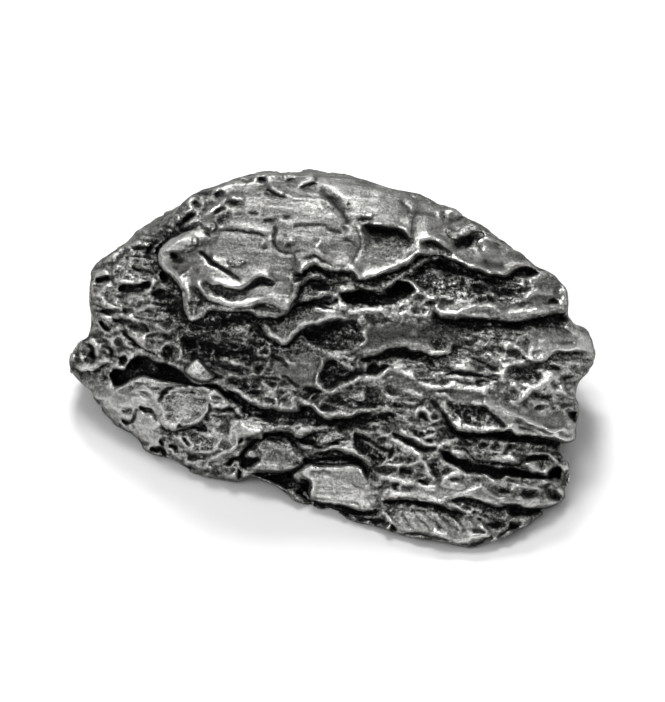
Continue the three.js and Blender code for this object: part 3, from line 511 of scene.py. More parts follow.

# Pits: outline, depth, wall, how much painted shade and oxide darken them, and how grainy they are.
PITS = [
    # the top plate
    ([455, 242, 462, 239, 470, 237, 474, 234, 480, 233, 486, 237, 480, 240, 474, 240, 472, 246, 464, 249,
     456, 251, 454, 246], 1.3, 2.5, 0.9, 0.6),
    ([323, 204, 330, 205, 338, 207, 340, 211, 333, 212, 327, 209], 0.35, 4, 0.2, 0.5),
    ([227, 201, 233, 201, 239, 202, 243, 204, 243, 208, 237, 208, 230, 208, 227, 204], 0.7, 3, 0.3, 0.7),
    ([218, 217, 222, 214, 228, 212, 230, 215, 229, 220, 226, 225, 220, 226, 217, 222], 0.6, 4, 0.3, 0.8),
    ([202, 229, 207, 229, 212, 233, 216, 231, 213, 237, 207, 238, 203, 234], 0.8, 3, 0.5, 0.8),
    ([191, 202, 196, 201, 200, 203, 199, 208, 194, 208], 0.4, 2.5, 0.2, 0.7),
    ([206, 204, 212, 201, 214, 204, 208, 208], 0.4, 2, 0.2, 0.6),
    ([214, 198, 217, 193, 223, 192, 225, 196, 221, 200], 0.5, 3, 0.3, 0.4),
    ([232, 179, 238, 177, 241, 181, 237, 184, 233, 184], 0.4, 3, 0.3, 0.5),
    ([246, 213, 251, 211, 255, 211, 257, 213, 255, 216, 250, 216], 0.4, 2.5, 0.3, 0.6),
    ([263, 222, 268, 223, 275, 223, 278, 220, 272, 225], 0.35, 2, 0.3, 0.5),
    ([264, 192, 269, 194, 275, 198, 270, 198, 265, 196], 0.3, 2, 0.3, 0.5),
    ([442, 213, 445, 212, 447, 218, 442, 219], 0.4, 2, 0.3, 0.5),
    ([171, 253, 175, 252, 180, 255, 186, 256, 183, 260, 176, 261, 172, 257], 0.9, 2.5, 0.5, 0.5),
    ([160, 273, 164, 272, 168, 275, 171, 279, 168, 283, 163, 283, 160, 279], 3, 2, 1, 0.3),
    ([190, 297, 195, 300, 198, 306, 199, 311, 196, 316, 190, 317, 186, 314, 184, 308], 1, 5, 0.4, 0.3),
    ([191, 268, 197, 268, 198, 271, 193, 273], 0.4, 2, 0.4, 0.4),
    ([212, 288, 218, 290, 225, 292, 233, 295, 239, 296, 236, 300, 227, 301, 220, 299, 214, 294], 0.6, 4,
     0.35, 0.9),
    # under the plate's front
    ([188, 324, 200, 324, 212, 316, 225, 314, 240, 315, 250, 317, 253, 324, 240, 330, 222, 334, 205, 333,
     192, 331], 1.3, 4, 0.8, 1),
    ([312, 283, 330, 281, 345, 279.5, 350, 281.5, 343, 287, 336, 290, 325, 291, 312, 290], 0.9, 3.5, 0.5,
     0.7),
    ([318, 302, 325, 300.5, 333, 300, 339, 299, 338, 305, 328, 307, 318, 306], 0.8, 2, 0.9, 0.4),
    # the cave and the arched pocket
    ([340, 294, 350, 290.5, 360, 289.5, 370, 292.5, 380, 292.5, 392, 286.5, 397, 279.5, 407, 279.5, 413,
     286, 415, 292, 408, 301, 395, 306, 380, 309, 360, 308, 350, 307, 345, 306, 341, 300], 4.2, 3, 1.4,
     0.8),
    ([397, 280, 403, 276.5, 410, 272.5, 416, 267.5, 422, 262.5, 430, 260.5, 437, 258.5, 444, 258.5, 450,
     263.5, 460, 268.5, 470, 273.5, 480, 277.5, 490, 280.5, 500, 282.5, 512, 285, 519, 287, 523, 291, 520,
     297, 514, 301, 500, 302.5, 470, 300.5, 440, 299.5, 425, 294.5, 420, 291, 413, 286, 407, 280], 1.7, 6,
     0.35, 0.9),
    ([404, 275.5, 412, 270.5, 418, 265.5, 424, 261.5, 432, 259, 441, 258, 447, 260.5, 453, 265.5, 462,
     269.5, 472, 273.5, 484, 277.5, 497, 280.5, 508, 283, 500, 286, 480, 283, 462, 278, 448, 274, 436, 272,
     424, 274, 414, 279], 2, 4, 0.9, 0.6),
    ([527, 301, 535, 303, 545, 302, 550, 298, 555, 297, 560, 300, 558, 305, 551, 306, 540, 304, 530, 304],
     1.6, 2, 0.9, 0.4),
    ([526, 270.5, 537, 270.5, 537, 275, 527, 276], 1, 1.5, 0.9, 0.3),
    ([446, 323, 470, 322, 500, 323, 530, 321.5, 552, 318, 568, 314, 573, 321, 560, 325, 535, 328, 505, 331,
     480, 331, 455, 329], 0.9, 4, 0.8, 0.7),
    # the middle
    ([302, 334, 306, 329.5, 312, 327, 320, 325, 330, 321.5, 340, 319, 352, 318.5, 358, 321, 362, 327, 365,
     336, 363, 342, 356, 346, 350, 349, 345, 351, 337, 353, 332, 354, 326, 350, 320, 348, 313, 346, 309,
     343, 305, 339], 1.7, 4, 0.75, 1),
    ([360, 359, 372, 357, 385, 353, 395, 350, 407, 349.5, 413, 352, 420, 351, 425, 355, 424, 358, 415, 360,
     400, 360, 385, 360, 364, 362], 1.9, 2, 1.1, 0.5),
    ([334, 359, 328, 361, 323, 366, 319, 372, 317.5, 379, 318.5, 384, 322, 388.5, 327, 390.5, 331, 390.5,
     336, 387.5, 341, 384, 347, 383, 351, 380, 357, 378, 364, 377, 371, 376, 377, 375, 382, 372, 386, 369,
     380, 365, 372, 362, 360, 371, 352, 369, 346, 366, 340, 362], 1.7, 3, 0.9, 0.9),
    ([428, 341, 435, 339, 441, 338.5, 445, 343, 447, 348, 442, 351, 433, 351, 430, 346], 0.7, 4, 0.3, 1),
    ([445, 374, 455, 372, 470, 372, 482, 375, 500, 378, 498, 380, 480, 378, 465, 376, 450, 376], 1.2, 1.5,
     1, 0.4),
    ([329, 397, 340, 394, 344, 398, 352, 403, 364, 404, 371, 400, 380, 400, 392, 401, 405, 402, 400, 408,
     384, 406, 370, 408, 356, 409, 340, 406, 331, 402], 0.8, 3, 0.7, 1),
    # the right bulge and the wedge under it
    ([505, 372, 510, 368, 520, 367, 530, 369, 538, 372, 542, 376, 540, 382, 530, 381, 515, 381, 506, 378],
     1.3, 3, 0.8, 0.8),
    ([547, 365, 553, 365, 560, 367, 562, 371, 557, 374, 552, 370], 1, 2.5, 0.7, 0.5),
    ([530, 396, 538, 392, 548, 392, 555, 396, 550, 400, 538, 400], 1.2, 2.5, 0.9, 0.6),
    ([447, 402, 452, 401, 460, 402, 470, 402, 480, 403, 486, 407, 491, 413, 496, 418, 503, 424, 498, 424.5,
     488, 424.5, 480, 425, 472, 424, 465, 423, 461, 420, 456, 417, 451, 411], 1.5, 5, 0.45, 0.9),
    ([556, 432, 563, 433, 570, 435, 566, 438, 559, 436], 0.7, 2, 0.4, 0.2),
    ([568, 412, 576, 412, 577, 418, 578, 424, 573, 421, 568, 417], 1.2, 2.5, 0.8, 0.5),
    ([455, 431, 465, 433, 480, 434, 500, 433, 520, 435, 540, 439, 555, 442, 561, 445, 556, 449, 540, 447,
     520, 443, 500, 441, 485, 438, 470, 438, 460, 436], 1.6, 2, 1.1, 0.5),
    ([441, 453, 446, 451.5, 452, 453, 458, 458, 466, 461, 474, 463, 480, 464, 490, 464, 500, 467, 510, 467,
     520, 468, 528, 470, 538, 472, 546, 474, 551, 468, 556, 466, 562, 466, 563, 472, 561, 479, 553, 480,
     540, 481, 525, 480, 508, 477.5, 500, 479, 492, 479, 485, 476, 475, 475, 465, 473, 458, 468, 450, 464,
     443, 458], 3.6, 2.5, 1.5, 0.4),
    ([526, 457, 536, 455, 546, 456, 550, 461, 544, 467, 536, 466, 528, 462], 0.8, 2.5, 0.7, 0.5),
    ([392, 484, 397, 482.5, 401, 485, 399, 489, 394, 489], 0.7, 2, 0.6, 0.5),
    # the fan and the plates at the lower right
    ([485, 524, 492, 521, 499, 521, 506, 524, 503, 528, 497, 531, 490, 530], 1.1, 3, 0.6, 0.8),
    ([510, 507, 520, 508, 532, 509.5, 545, 510, 540, 512, 533, 515, 527, 516, 520, 517, 515, 518, 510, 519,
     509, 512], 2, 2, 1.2, 0.4),
    ([510, 520, 514, 524, 519, 524, 518, 529, 512, 531, 509, 527], 1.2, 2, 0.8, 0.5),
    ([521, 491, 527, 489.5, 533, 490.5, 537, 494, 534, 497, 530, 498.5, 525, 497.5, 522, 495], 0.4, 3, 0.15,
     0.6),
    ([547, 491, 553, 490, 558, 492, 562, 496, 560, 500, 553, 502, 548, 500], 0.45, 3, 0.2, 0.6),
    ([476, 528, 482, 530, 487, 534, 480, 535, 474, 534, 473, 530], 0.9, 2, 0.5, 0.1),
    ([459, 524, 464, 527, 467, 531, 463, 532], 0.7, 1.5, 0.8, 0.3),
    # the lower middle
    ([262, 476, 275, 475, 290, 473, 294, 479, 301, 482, 307, 483, 308, 489, 308, 497, 301, 497, 292, 491,
     285, 490, 276, 483, 266, 479], 2.4, 2, 1.3, 0.9),
    ([311, 503, 320, 505, 333, 508, 345, 511.5, 355, 513, 365, 514, 376, 511.5, 379, 513, 372, 517, 360,
     515, 350, 515, 345, 517, 333, 513, 322, 508.5], 1.7, 1.8, 1.2, 0.5),
    ([392, 524, 396, 527, 398, 531, 394, 534, 390, 532], 1.5, 1.5, 1, 0.3),
    ([304, 458, 312, 459, 320, 458, 330, 456.5, 340, 456, 348, 457, 355, 459, 361, 463, 365, 468, 368, 473,
     370, 481, 366, 478, 362, 469, 357, 463, 350, 461, 340, 460, 325, 461, 312, 463, 306, 464], 1.3, 1.6,
     1.1, 0.5),
    ([264, 433, 272, 432.5, 282, 434, 290, 438, 297, 440, 298, 447, 294, 449, 289, 446, 287, 440, 280, 437,
     270, 437, 264, 437], 1.4, 2, 1.1, 0.6),
    ([240, 456, 248, 457, 256, 458, 262, 459, 261, 463, 254, 466, 246, 470, 240, 469], 1.4, 2, 1, 0.8),
    ([237, 467, 240, 471, 242, 478, 237, 480, 236, 475], 1.6, 1.5, 1.1, 0.3),
    ([236, 405, 246, 408, 256, 412, 262, 413, 270, 413, 280, 416, 290, 417, 300, 414, 312, 414, 320, 419,
     326, 423, 340, 423, 352, 423, 362, 419, 372, 414, 381, 411, 390, 411, 396, 414, 397, 420, 390, 424,
     378, 423, 368, 426, 358, 426, 350, 428.5, 340, 426, 325, 424, 312, 421, 300, 419, 288, 419, 275, 419,
     262, 419.5, 252, 418, 245, 415], 1.5, 3, 1.1, 0.8),
    ([392, 431, 398, 433, 405, 437, 412, 442, 420, 447, 428, 448.5, 436, 448, 430, 451, 425, 454.5, 420,
     451.5, 412, 447.5, 403, 442.5, 395, 437.5], 1.6, 1.6, 1.2, 0.4),
    ([354, 437, 364, 440, 374, 446, 384, 452, 389, 459, 384, 463, 374, 464, 366, 460, 360, 452, 354, 445],
     0.8, 3, 0.5, 1),
    ([425, 440, 430, 439.5, 433, 442, 430, 445, 426, 443.5], 0.8, 1.5, 0.9, 0.3),
    ([430, 463.5, 438, 462.5, 440, 468, 440, 475, 436, 476, 431, 470], 0.9, 2, 0.6, 1),
    ([418, 414, 422, 411.5, 426, 413.5, 427, 417.5, 428, 421.5, 424, 421, 420, 418], 0.9, 2.5, 0.5, 0.4),
    # the left side
    ([161, 402, 165, 394, 173, 389, 184, 388, 196, 390, 204, 395, 207, 402, 204, 410, 197, 416, 186, 420,
     174, 419, 165, 412], 1.1, 6, -0.2, 1),
    ([176, 426, 180, 422, 186, 424, 192, 426, 200, 425, 204, 423, 207, 425, 210, 429, 210, 432, 205, 433,
     198, 430.5, 190, 429, 183, 429, 178, 428.5], 1.6, 2, 1.1, 0.6),
    ([210, 416, 214, 415, 219, 415.5, 219, 419, 214, 418.5], 0.6, 1.5, 0.5, 0.3),
    ([190, 432, 197, 432, 205, 434, 212, 439, 217, 444.5, 216, 450, 208, 452.5, 200, 452, 194, 450, 191,
     444, 189, 438], 0.9, 4, 0, 1),
    ([188, 453, 200, 454, 212, 452, 224, 451, 221, 454, 212, 457, 203, 460.5, 195, 461, 188, 459], 1, 2.5,
     0.7, 0.5),
    ([111, 371, 116, 367, 125, 367, 132, 359, 140, 356, 150, 357, 158, 360, 166, 364, 176, 368, 184, 375,
     191, 381, 200, 384, 216, 384, 220, 388.5, 230, 393.5, 238, 399.5, 246, 405.5, 254, 409.5, 250, 412,
     243, 407, 232, 402, 222, 397, 213, 389, 200, 387, 190, 386, 172, 384, 163, 381, 155, 379, 146, 378,
     138, 378, 131, 380, 124, 384, 115, 386, 112, 383, 110, 375], 4.2, 2.4, 1.5, 0.6),
    ([120, 357.5, 126, 356.5, 128, 361, 126, 365.5, 121, 364], 1, 1.5, 0.8, 0.4),
    ([163, 356, 163, 350, 166, 346.5, 172, 345.5, 177, 348.5, 176, 355, 173, 360.5, 167, 361], 0.8, 3, 0.4,
     0.8),
    ([73, 350, 78, 350, 78, 357, 74, 356], 0.7, 1.5, 0.6, 0.4),
    ([98, 322, 103, 321, 108, 327, 111, 332, 107, 334, 102, 330], 1.4, 2, 1, 0.3),
    ([140, 404, 147, 407, 152, 409, 156, 413, 158, 418, 160, 422, 156, 421, 153, 417, 148, 414, 143, 413,
     140, 409], 1.5, 2, 1, 0.5),
    ([121, 409, 127, 407, 133, 408, 134, 413, 128, 415, 122, 414], 0.8, 2, 0.6, 0.5),
    ([124, 257, 129, 257, 130, 262, 126, 263], 0.7, 1.5, 0.8, 0.3),
    ([122, 284, 130, 284, 140, 283, 146, 280, 151, 282, 151, 287, 146, 291, 140, 294, 130, 295, 122, 292,
     118, 288], 2.4, 2, 1.2, 0.5),
    ([95, 278, 102, 277, 108, 275, 110, 279, 104, 282, 98, 284], 1.3, 1.5, 1.1, 0.3),
    ([152, 292, 162, 288, 172, 292, 180, 300, 184, 312, 176, 318, 164, 314, 156, 304], 1, 4, 0.7, 0.8),
    ([134, 232, 139, 232, 141, 236, 138, 239, 134, 237], 0.8, 1.5, 0.8, 0.3),
    ([182, 336, 196, 334, 210, 336, 224, 340, 240, 342, 254, 348, 258, 358, 250, 366, 236, 360, 222, 362,
     212, 368, 206, 360, 198, 356, 186, 352, 180, 344], 1.6, 6, 0.75, 1),
    ([230, 380, 244, 378, 252, 384, 262, 392, 258, 398, 246, 396, 236, 390], 0.6, 4, 0.3, 0.8),
]

# Mounds: outline, height, wall, brightness from painted highlight and wear, and grain.
MOUNDS = [
    ([447, 227, 452, 229, 458, 231, 463, 226, 470, 223, 476, 225, 480, 228, 481, 231, 474, 233, 468, 236,
     462, 237, 456, 240, 450, 237, 446, 232], 1, 4, 0.45, 0.6),
    ([200, 223, 205, 221, 211, 219, 215, 222, 217, 227, 215, 231, 211, 232, 206, 228, 201, 227], 0.8, 4,
     0.45, 0.7),
    ([166, 246, 176, 240, 188, 236, 198, 238, 198, 246, 190, 252, 178, 252, 168, 253], 0.6, 5, 0.35, 0.3),
    ([227, 260, 238, 258, 247, 262, 241, 266, 231, 265], 0.5, 3, 0.3, 0.8),
    ([540, 271, 552, 273, 562, 283, 567, 290, 560, 291, 545, 290, 535, 291, 528, 287, 529, 279], 0.6, 5,
     0.1, 0.2),
    ([357, 317, 362, 315, 368, 319, 367, 325, 358, 324], 0.9, 3, 0.3, 0.4),
    ([336, 360, 343, 360, 347, 364, 350, 365, 354, 361, 356, 358, 354, 355, 350, 353, 343, 355], 0.6, 3,
     0.1, 0.1),
    ([471, 332, 480, 330, 490, 329, 495, 335, 496, 342, 488, 344, 484, 339, 476, 337], 0.5, 3, 0.2, 0.5),
    ([521, 384, 527, 381, 530, 383, 525, 387], 0.6, 2.5, 0.3, 0),
    ([470, 446, 478, 444, 484, 444, 492, 445, 500, 448, 503, 453, 500, 457, 490, 457, 480, 456, 473, 452],
     0.6, 4, 0.3, 0.6),
    ([440, 482, 448, 480, 456, 480, 464, 483, 467, 488, 460, 490, 450, 489.5, 441, 487], 0.9, 5, 0.2, 0),
    ([483, 513, 488, 511, 495, 508.5, 500, 507.5, 506, 508, 509, 511, 507, 516, 505, 520, 499, 520, 491,
     518.5, 486, 516], 0.9, 2.5, 0.2, 0.1),
    ([536, 517, 540, 512.5, 545, 511.5, 543, 517, 538, 521], 0.5, 3, 0.1, 0.1),
    ([300, 446.5, 306, 444.5, 313, 446.5, 316, 449, 308, 449.5, 301, 449.5], 0.6, 2.5, 0.3, 0.1),
    ([310, 438.5, 318, 437, 324, 435, 330, 432, 336, 429.5, 342, 432, 347, 434.5, 345, 438, 338, 440, 333,
     441.5, 325, 443.5, 320, 445, 315, 442.5], 0.9, 4, 0.4, 0.6),
    ([256, 441, 262, 438.5, 268, 442, 275, 445.5, 282, 449, 290, 449, 293, 452.5, 300, 458, 306, 464, 301,
     468, 294, 469, 286, 471.5, 276, 471.5, 266, 469.5, 258, 470, 250, 468, 256, 462, 262, 456, 258, 450,
     256, 446], 0.7, 5, 0.1, 0.1),
    ([277, 442, 281, 439, 286, 440, 287, 445, 282, 447], 0.5, 2, 0.5, 0.8),
    ([229, 420, 240, 419, 252, 420, 262, 424, 262, 431, 250, 437, 242, 438, 236, 442, 229, 438], 0.7, 5,
     0.25, 0.1),
    ([232, 411, 236, 407, 243, 405, 242, 410, 245, 416, 240, 415.5, 235, 413.5], 0.8, 2.5, 0.5, 0.1),
    ([387, 414, 391, 417, 396, 417.5, 396, 420.5, 392, 422.5, 388, 420], 0.7, 2, 0.3, 0.1),
    ([430, 456, 436, 450, 441, 451, 440, 457, 434, 459], 0.4, 2, 0.3, 0.4),
    ([408, 432, 420, 430, 434, 430, 444, 434, 438, 440, 426, 440, 414, 436], 0.5, 3, 0.2, 1),
    ([151, 451, 156, 451, 160, 452, 159, 455, 154, 455], 0.5, 1.5, 0.5, 0.5),
    ([185, 369, 190, 363, 196, 359.5, 201, 361, 206, 366, 211, 371, 216, 377, 212, 380, 205, 381.5, 198,
     380, 191, 377, 186, 373], 2.6, 4.5, 0.6, 0),
    ([173, 345, 182, 342, 192, 346, 208, 352, 205, 354, 195, 353, 187, 354, 180, 357, 175, 362], 0.6, 2.5,
     0.2, 0.4),
    ([112, 266, 122, 267, 129, 272, 134, 278, 128, 282, 116, 279], 0.8, 4, 0.4, 0.3),
]

# Ridges, and grooves where the height is negative: line, height and width.
RIDGES = [
    # the top plate
    ([318, 186, 326, 192, 334, 198, 341, 205, 348, 213, 354, 222, 359, 230], -0.42, 5.5),
    ([326, 196, 333, 200, 339, 207, 346, 215, 351, 224], -0.35, 2),
    ([356, 224, 360, 234, 361, 244, 358, 256, 352, 264], -0.22, 1.3),
    ([466, 221, 472, 225, 478, 230, 483, 236], 0.35, 1.6),
    ([471, 218, 477, 223, 483, 229, 489, 236], 0.35, 1.6),
    ([480, 238, 490, 239, 498, 241, 504, 246, 510, 250, 520, 254, 528, 257], 0.5, 2.2),
    ([447, 219, 455, 219.5, 463, 217, 470, 218], -0.4, 1.6), ([446, 209, 455, 211, 464, 216], 0.35, 2),
    ([284, 197, 292, 198, 300, 198, 306, 197], 0.3, 1.6), ([284, 175, 294, 174, 304, 174], -0.2, 2.2),
    ([302, 171, 308, 170, 313, 167.5], -0.3, 2.4),
    ([262, 170, 275, 172, 290, 172, 305, 175, 318, 174], 0.25, 2.4),
    ([292, 227, 300, 226, 308, 227, 316, 226, 324, 226, 330, 229, 336, 231, 343, 232], -0.28, 1.4),
    ([343, 239, 350, 241, 355, 244, 359, 248], -0.3, 1.4), ([313, 249, 318, 245, 322, 240], 0.4, 2),
    ([344, 222, 346, 228, 350, 232], -0.25, 1.8), ([316, 238, 319, 243, 321, 247], -0.25, 2.4),
    ([227, 198, 233, 196.5, 237, 198, 241, 197.5, 245, 202], 0.6, 2.2),
    ([224, 222, 207, 233, 191, 240, 178, 245, 169, 252, 166, 261, 172, 271, 180, 281, 186, 292, 190, 304,
     195, 315], 0.8, 5.5),
    ([179, 229, 184, 226, 190, 222, 197, 219, 204, 215, 210, 212, 216, 209, 222, 205, 226, 202], 0.8, 3.4),
    ([213, 214, 220, 210.5, 226, 208], -0.6, 1.6),
    ([172, 222, 178, 218, 184, 213, 190, 209, 197, 206], 0.7, 3),
    ([170, 232, 176, 228, 182, 223, 188, 219, 197, 214], -0.9, 2.4),
    ([197, 217, 204, 211, 210, 208], -0.5, 2), ([150, 232, 158, 225, 166, 219, 174, 214], 0.6, 2.6),
    ([156, 236, 164, 229, 170, 226], -0.7, 2.2), ([158, 214, 166, 213, 174, 210], -0.5, 2),
    ([185, 207, 188, 203, 192, 200, 198, 198], 0.5, 2), ([241, 180.5, 250, 179.5, 254, 176.5], -0.45, 2.2),
    ([244, 175, 250, 174, 256, 173], -0.3, 1.8),
    ([213, 195, 218, 190, 226, 187, 240, 184, 250, 180, 260, 177, 270, 176, 282, 176], 0.4, 2.8),
    ([212, 198, 214, 193.5, 218, 190.5, 222, 189.5], 0.4, 1.8), ([196, 195, 204, 194, 210, 196], -0.4, 2),
    ([258, 180, 262, 179.5, 266, 180], -0.5, 1.6), ([405, 211, 415, 212, 428, 214, 440, 216], -0.25, 2.2),
    ([400, 203, 406, 206, 411, 209], -0.3, 1.4), ([282, 216, 286, 218.5, 290, 216], -0.4, 1.6),
    ([274, 225, 275, 232, 274, 239, 275, 246, 281, 252, 292, 254, 302, 252], -0.35, 1.3),
    ([262, 250, 268, 248], -0.25, 1.6), ([191, 238, 192, 245], 0.4, 1.5), ([196, 238, 197, 246], 0.4, 1.5),
    ([201, 240, 200, 247], 0.35, 1.5),
    ([200, 250, 203, 254, 207, 257, 212, 262, 218, 265, 224, 269, 229, 273, 234, 277, 240, 279], -0.7, 1.7),
    ([210, 255, 214, 259, 219, 261, 222, 264, 227, 266, 232, 267], 0.5, 2),
    ([246, 289, 252, 286, 262, 282, 268, 284, 276, 284], -0.7, 1.7),
    ([180, 275, 186, 273, 190, 270], 0.35, 1.6), ([180, 286, 184, 292, 188, 298], -0.6, 2),
    ([159, 282, 162, 285, 167, 287], 0.4, 1.6),
    # under the plate
    ([314, 268, 320, 271, 326, 275, 332, 276.5], -0.9, 1.8),
    ([262, 334, 264, 339, 267, 342, 271, 343, 275, 341], 0.5, 1.8),
    ([308, 309, 316, 309.5, 323, 310, 330, 311, 335, 312, 340, 311, 345, 307, 347, 301, 348, 299], 0.7,
     2.6),
    ([224, 316.5, 230, 316.5, 238, 313.5, 244, 312.5], 0.4, 1.5),
    ([260, 318, 266, 320.5, 278, 319.5], 0.4, 1.6), ([222, 321, 220, 325, 219, 329], 0.5, 1.6),
    ([240, 325, 247, 320.5, 253, 317.5], 0.5, 1.6), ([222, 329, 232, 327, 245, 326, 255, 326], 0.6, 1.8),
    ([213, 326, 216, 330, 222, 330, 229, 328], 0.5, 1.8), ([341, 288, 347, 289.5, 356, 288.5], 0.6, 1.4),
    ([340, 292.5, 350, 292, 358, 290], 0.5, 1.3),
    ([345, 312, 350, 313, 360, 312, 370, 311, 380, 311, 388, 313, 395, 315, 402, 315, 408, 312, 413, 315,
     420, 316, 428, 316, 436, 317], 0.8, 2.4),
    ([400, 320, 406, 322, 412, 321, 419, 321], 0.5, 1.8), ([360, 315, 366, 319, 372, 321], 0.5, 1.8),
    ([375, 323, 380, 327, 384, 326], 0.4, 1.6), ([300, 305, 310, 303, 320, 303], -0.5, 1.5),
    # the arched pocket
    ([407, 279, 409, 283, 413, 286, 418, 289, 420, 293], 0.8, 2.2),
    ([460, 273, 468, 278, 477, 281, 487, 283], 0.5, 2), ([455, 291, 463, 292, 468, 288, 473, 284], 0.5, 2),
    ([440, 296, 446, 296.5, 452, 295], 0.4, 1.8), ([470, 297, 480, 296, 490, 295, 497, 298], 0.5, 1.8),
    ([430, 283, 438, 286, 446, 286], 0.35, 1.8),
    ([408, 302, 411, 297.5, 415, 294.5, 419, 293.5, 425, 294.5, 432, 297.5, 439, 300], 0.9, 2.6),
    ([432, 301, 437, 307, 441, 311, 447, 313, 455, 313, 462, 311, 470, 309, 476, 307, 482, 306.5, 488, 307,
     495, 309, 503, 312, 512, 313, 520, 312, 530, 311, 540, 309, 548, 308, 557, 306, 563, 303, 567, 298,
     566, 291, 558, 290], 1.1, 3.2),
    ([514, 303, 520, 300, 526, 298, 530, 295, 535, 292.5, 542, 292, 550, 292, 556, 291], 0.8, 2.2),
    ([520, 281, 523, 285, 524, 289, 527, 289], 0.5, 1.8), ([511, 279, 520, 279, 526, 281], 0.4, 1.6),
    ([483, 259, 490, 264, 498, 266, 508, 266], -0.5, 1.8), ([474, 243, 480, 246, 485, 250], -0.4, 1.6),
    # the middle
    ([305, 340, 309, 345, 313, 348, 320, 350, 326, 352, 332, 356, 337, 355, 345, 353, 350, 351, 356, 348,
     363, 344, 366, 336, 362, 332, 357, 331], 0.6, 2),
    ([326, 333, 334, 336, 340, 333], 0.5, 2), ([344, 327, 350, 332, 348, 338], 0.4, 2),
    ([318, 371, 316, 379, 318, 386, 322, 391, 327, 393, 333, 391, 338, 387, 344, 385.5, 350, 383, 357,
     380.5, 365, 379.5, 373, 378, 380, 375, 386, 371, 392, 369, 399, 369.5, 405, 371.5, 412, 375.5, 418,
     380.5, 422, 383.5, 427, 386.5, 436, 386.5, 450, 385.5, 458, 386.5, 465, 387.5, 474, 388.5, 482, 390.5,
     490, 391.5], 0.9, 2.5),
    ([334, 363, 338, 365, 343, 367, 350, 369, 356, 370], 0.7, 2),
    ([330, 395, 338, 393, 345, 391, 350, 391], 0.6, 1.8),
    ([367, 384, 375, 384, 380, 383, 386, 379, 392, 377, 398, 378], 0.5, 1.8),
    ([380, 387, 382, 392, 388, 395, 395, 396, 400, 395], 0.5, 1.8),
    ([280, 374, 288, 378, 293, 383, 300, 387], -0.7, 1.6),
    ([280, 351, 287, 348, 293, 349, 297, 352], 0.5, 1.8), ([284, 360, 292, 364, 300, 364], 0.4, 1.8),
    ([444, 335, 450, 340, 454, 346], 0.5, 1.8),
    ([459, 333, 461, 337, 466, 339, 472, 338, 476, 337], 0.5, 1.8), ([487, 337, 497, 337], 0.4, 1.5),
    ([501, 337, 508, 338, 516, 340], 0.4, 1.5), ([453, 369, 462, 368, 470, 370, 478, 369], 0.5, 1.6),
    ([442, 379, 450, 378, 465, 378], 0.4, 1.5), ([415, 360, 420, 363, 424, 366, 428, 370], 0.5, 1.8),
    ([474, 384, 480, 382, 490, 382], -0.5, 1.4),
    ([433, 392, 440, 394, 448, 395, 452, 399, 453, 403], 0.6, 1.8),
    ([395, 404, 402, 402, 410, 403, 418, 407], 0.5, 1.8),
    ([398, 392, 408, 391, 418, 395, 426, 394], 0.45, 1.8),
    ([270, 352, 276, 358, 284, 362, 290, 370], -0.4, 2), ([255, 369, 262, 376, 270, 380], -0.5, 1.8),
    # the right bulge
    ([560, 327, 568, 329, 575, 332, 580, 336, 586, 340], 0.6, 2.2),
    ([537, 343, 543, 341.5, 550, 341], 0.45, 1.8), ([530, 348, 540, 349, 548, 348], 0.45, 1.8),
    ([505, 333, 515, 332, 526, 335, 536, 334], 0.45, 1.8), ([556, 344, 566, 342, 576, 345], -0.4, 1.8),
    ([530, 366, 525, 363.5, 517, 362.5, 510, 363.5, 506, 366.5, 503, 371, 501, 375, 503, 379, 507, 382],
     1.1, 2.4),
    ([508, 382, 513, 384, 517, 388, 523, 389], 0.9, 2.2),
    ([546, 384, 552, 390, 560, 392, 568, 388], 0.9, 2.6),
    ([536, 398, 544, 393, 552, 396, 560, 402], 0.7, 2.4),
    ([538, 374, 546, 372, 552, 376, 548, 381], 0.8, 2.4),
    ([516, 402, 520, 398, 524, 394, 528, 391, 533, 388, 540, 385, 546, 382, 551, 378, 556, 376, 561, 373],
     1.5, 3.4),
    ([552, 383, 557, 385, 562, 387, 567, 387], 0.6, 2.2), ([528, 400, 533, 402, 537, 407], 0.6, 1.8),
    ([570, 362, 578, 360, 586, 362], 0.5, 2.4), ([560, 380, 568, 378, 574, 379], -0.5, 2),
    ([484, 352, 492, 356, 498, 362], 0.5, 2), ([470, 358, 480, 360, 490, 366, 498, 370], -0.5, 1.8),
    ([455, 360, 464, 362, 474, 362], 0.45, 1.8),
    # the foot pit and the wedge
    ([447, 400, 446, 406, 447, 412, 450, 417, 453, 422, 458, 426, 464, 429, 471, 430, 480, 430.5, 491,
     430.5, 500, 429.5, 510, 429.5], 0.8, 2.4),
    ([456, 418, 461, 421.5, 465, 424, 472, 425.5, 480, 426.5, 488, 425.5, 495, 425.5], 0.5, 1.8),
    ([480, 405, 487, 410, 492, 415, 497, 419, 502, 424, 509, 429], -0.85, 2.2),
    ([480, 401, 486, 402.5, 492, 405, 498, 408, 504, 412, 510, 414, 516, 415.5, 522, 417.5, 528, 420.5, 535,
     424, 541, 427, 547, 430, 553, 431, 560, 430, 567, 427.5], 1, 2.6),
    ([512, 421, 520, 423, 530, 427, 540, 431, 552, 436], -0.5, 1.4),
    ([518, 427, 530, 430, 536, 434, 543, 437], -0.7, 1.6),
    ([563, 407, 566, 413, 568, 419, 571, 425], 0.7, 1.9), ([565, 410, 570, 408, 575, 411], 0.5, 1.8),
    ([500, 437, 506, 438, 514, 441, 520, 440], 0.5, 1.3), ([524, 445, 540, 446, 552, 447], 0.4, 1.3),
    ([430, 399, 433, 402, 437, 407, 441, 412, 446, 418, 450, 424, 456, 429], -0.95, 2.3),
    ([416, 420, 416, 414, 418, 410.5, 421, 409, 426, 410, 429, 413.5, 430, 418.5, 433, 421.5, 438, 421.5,
     441, 419.5], 0.5, 1.9),
    # the slot
    ([478, 440, 484, 442, 490, 444, 497, 443], 0.6, 1.8),
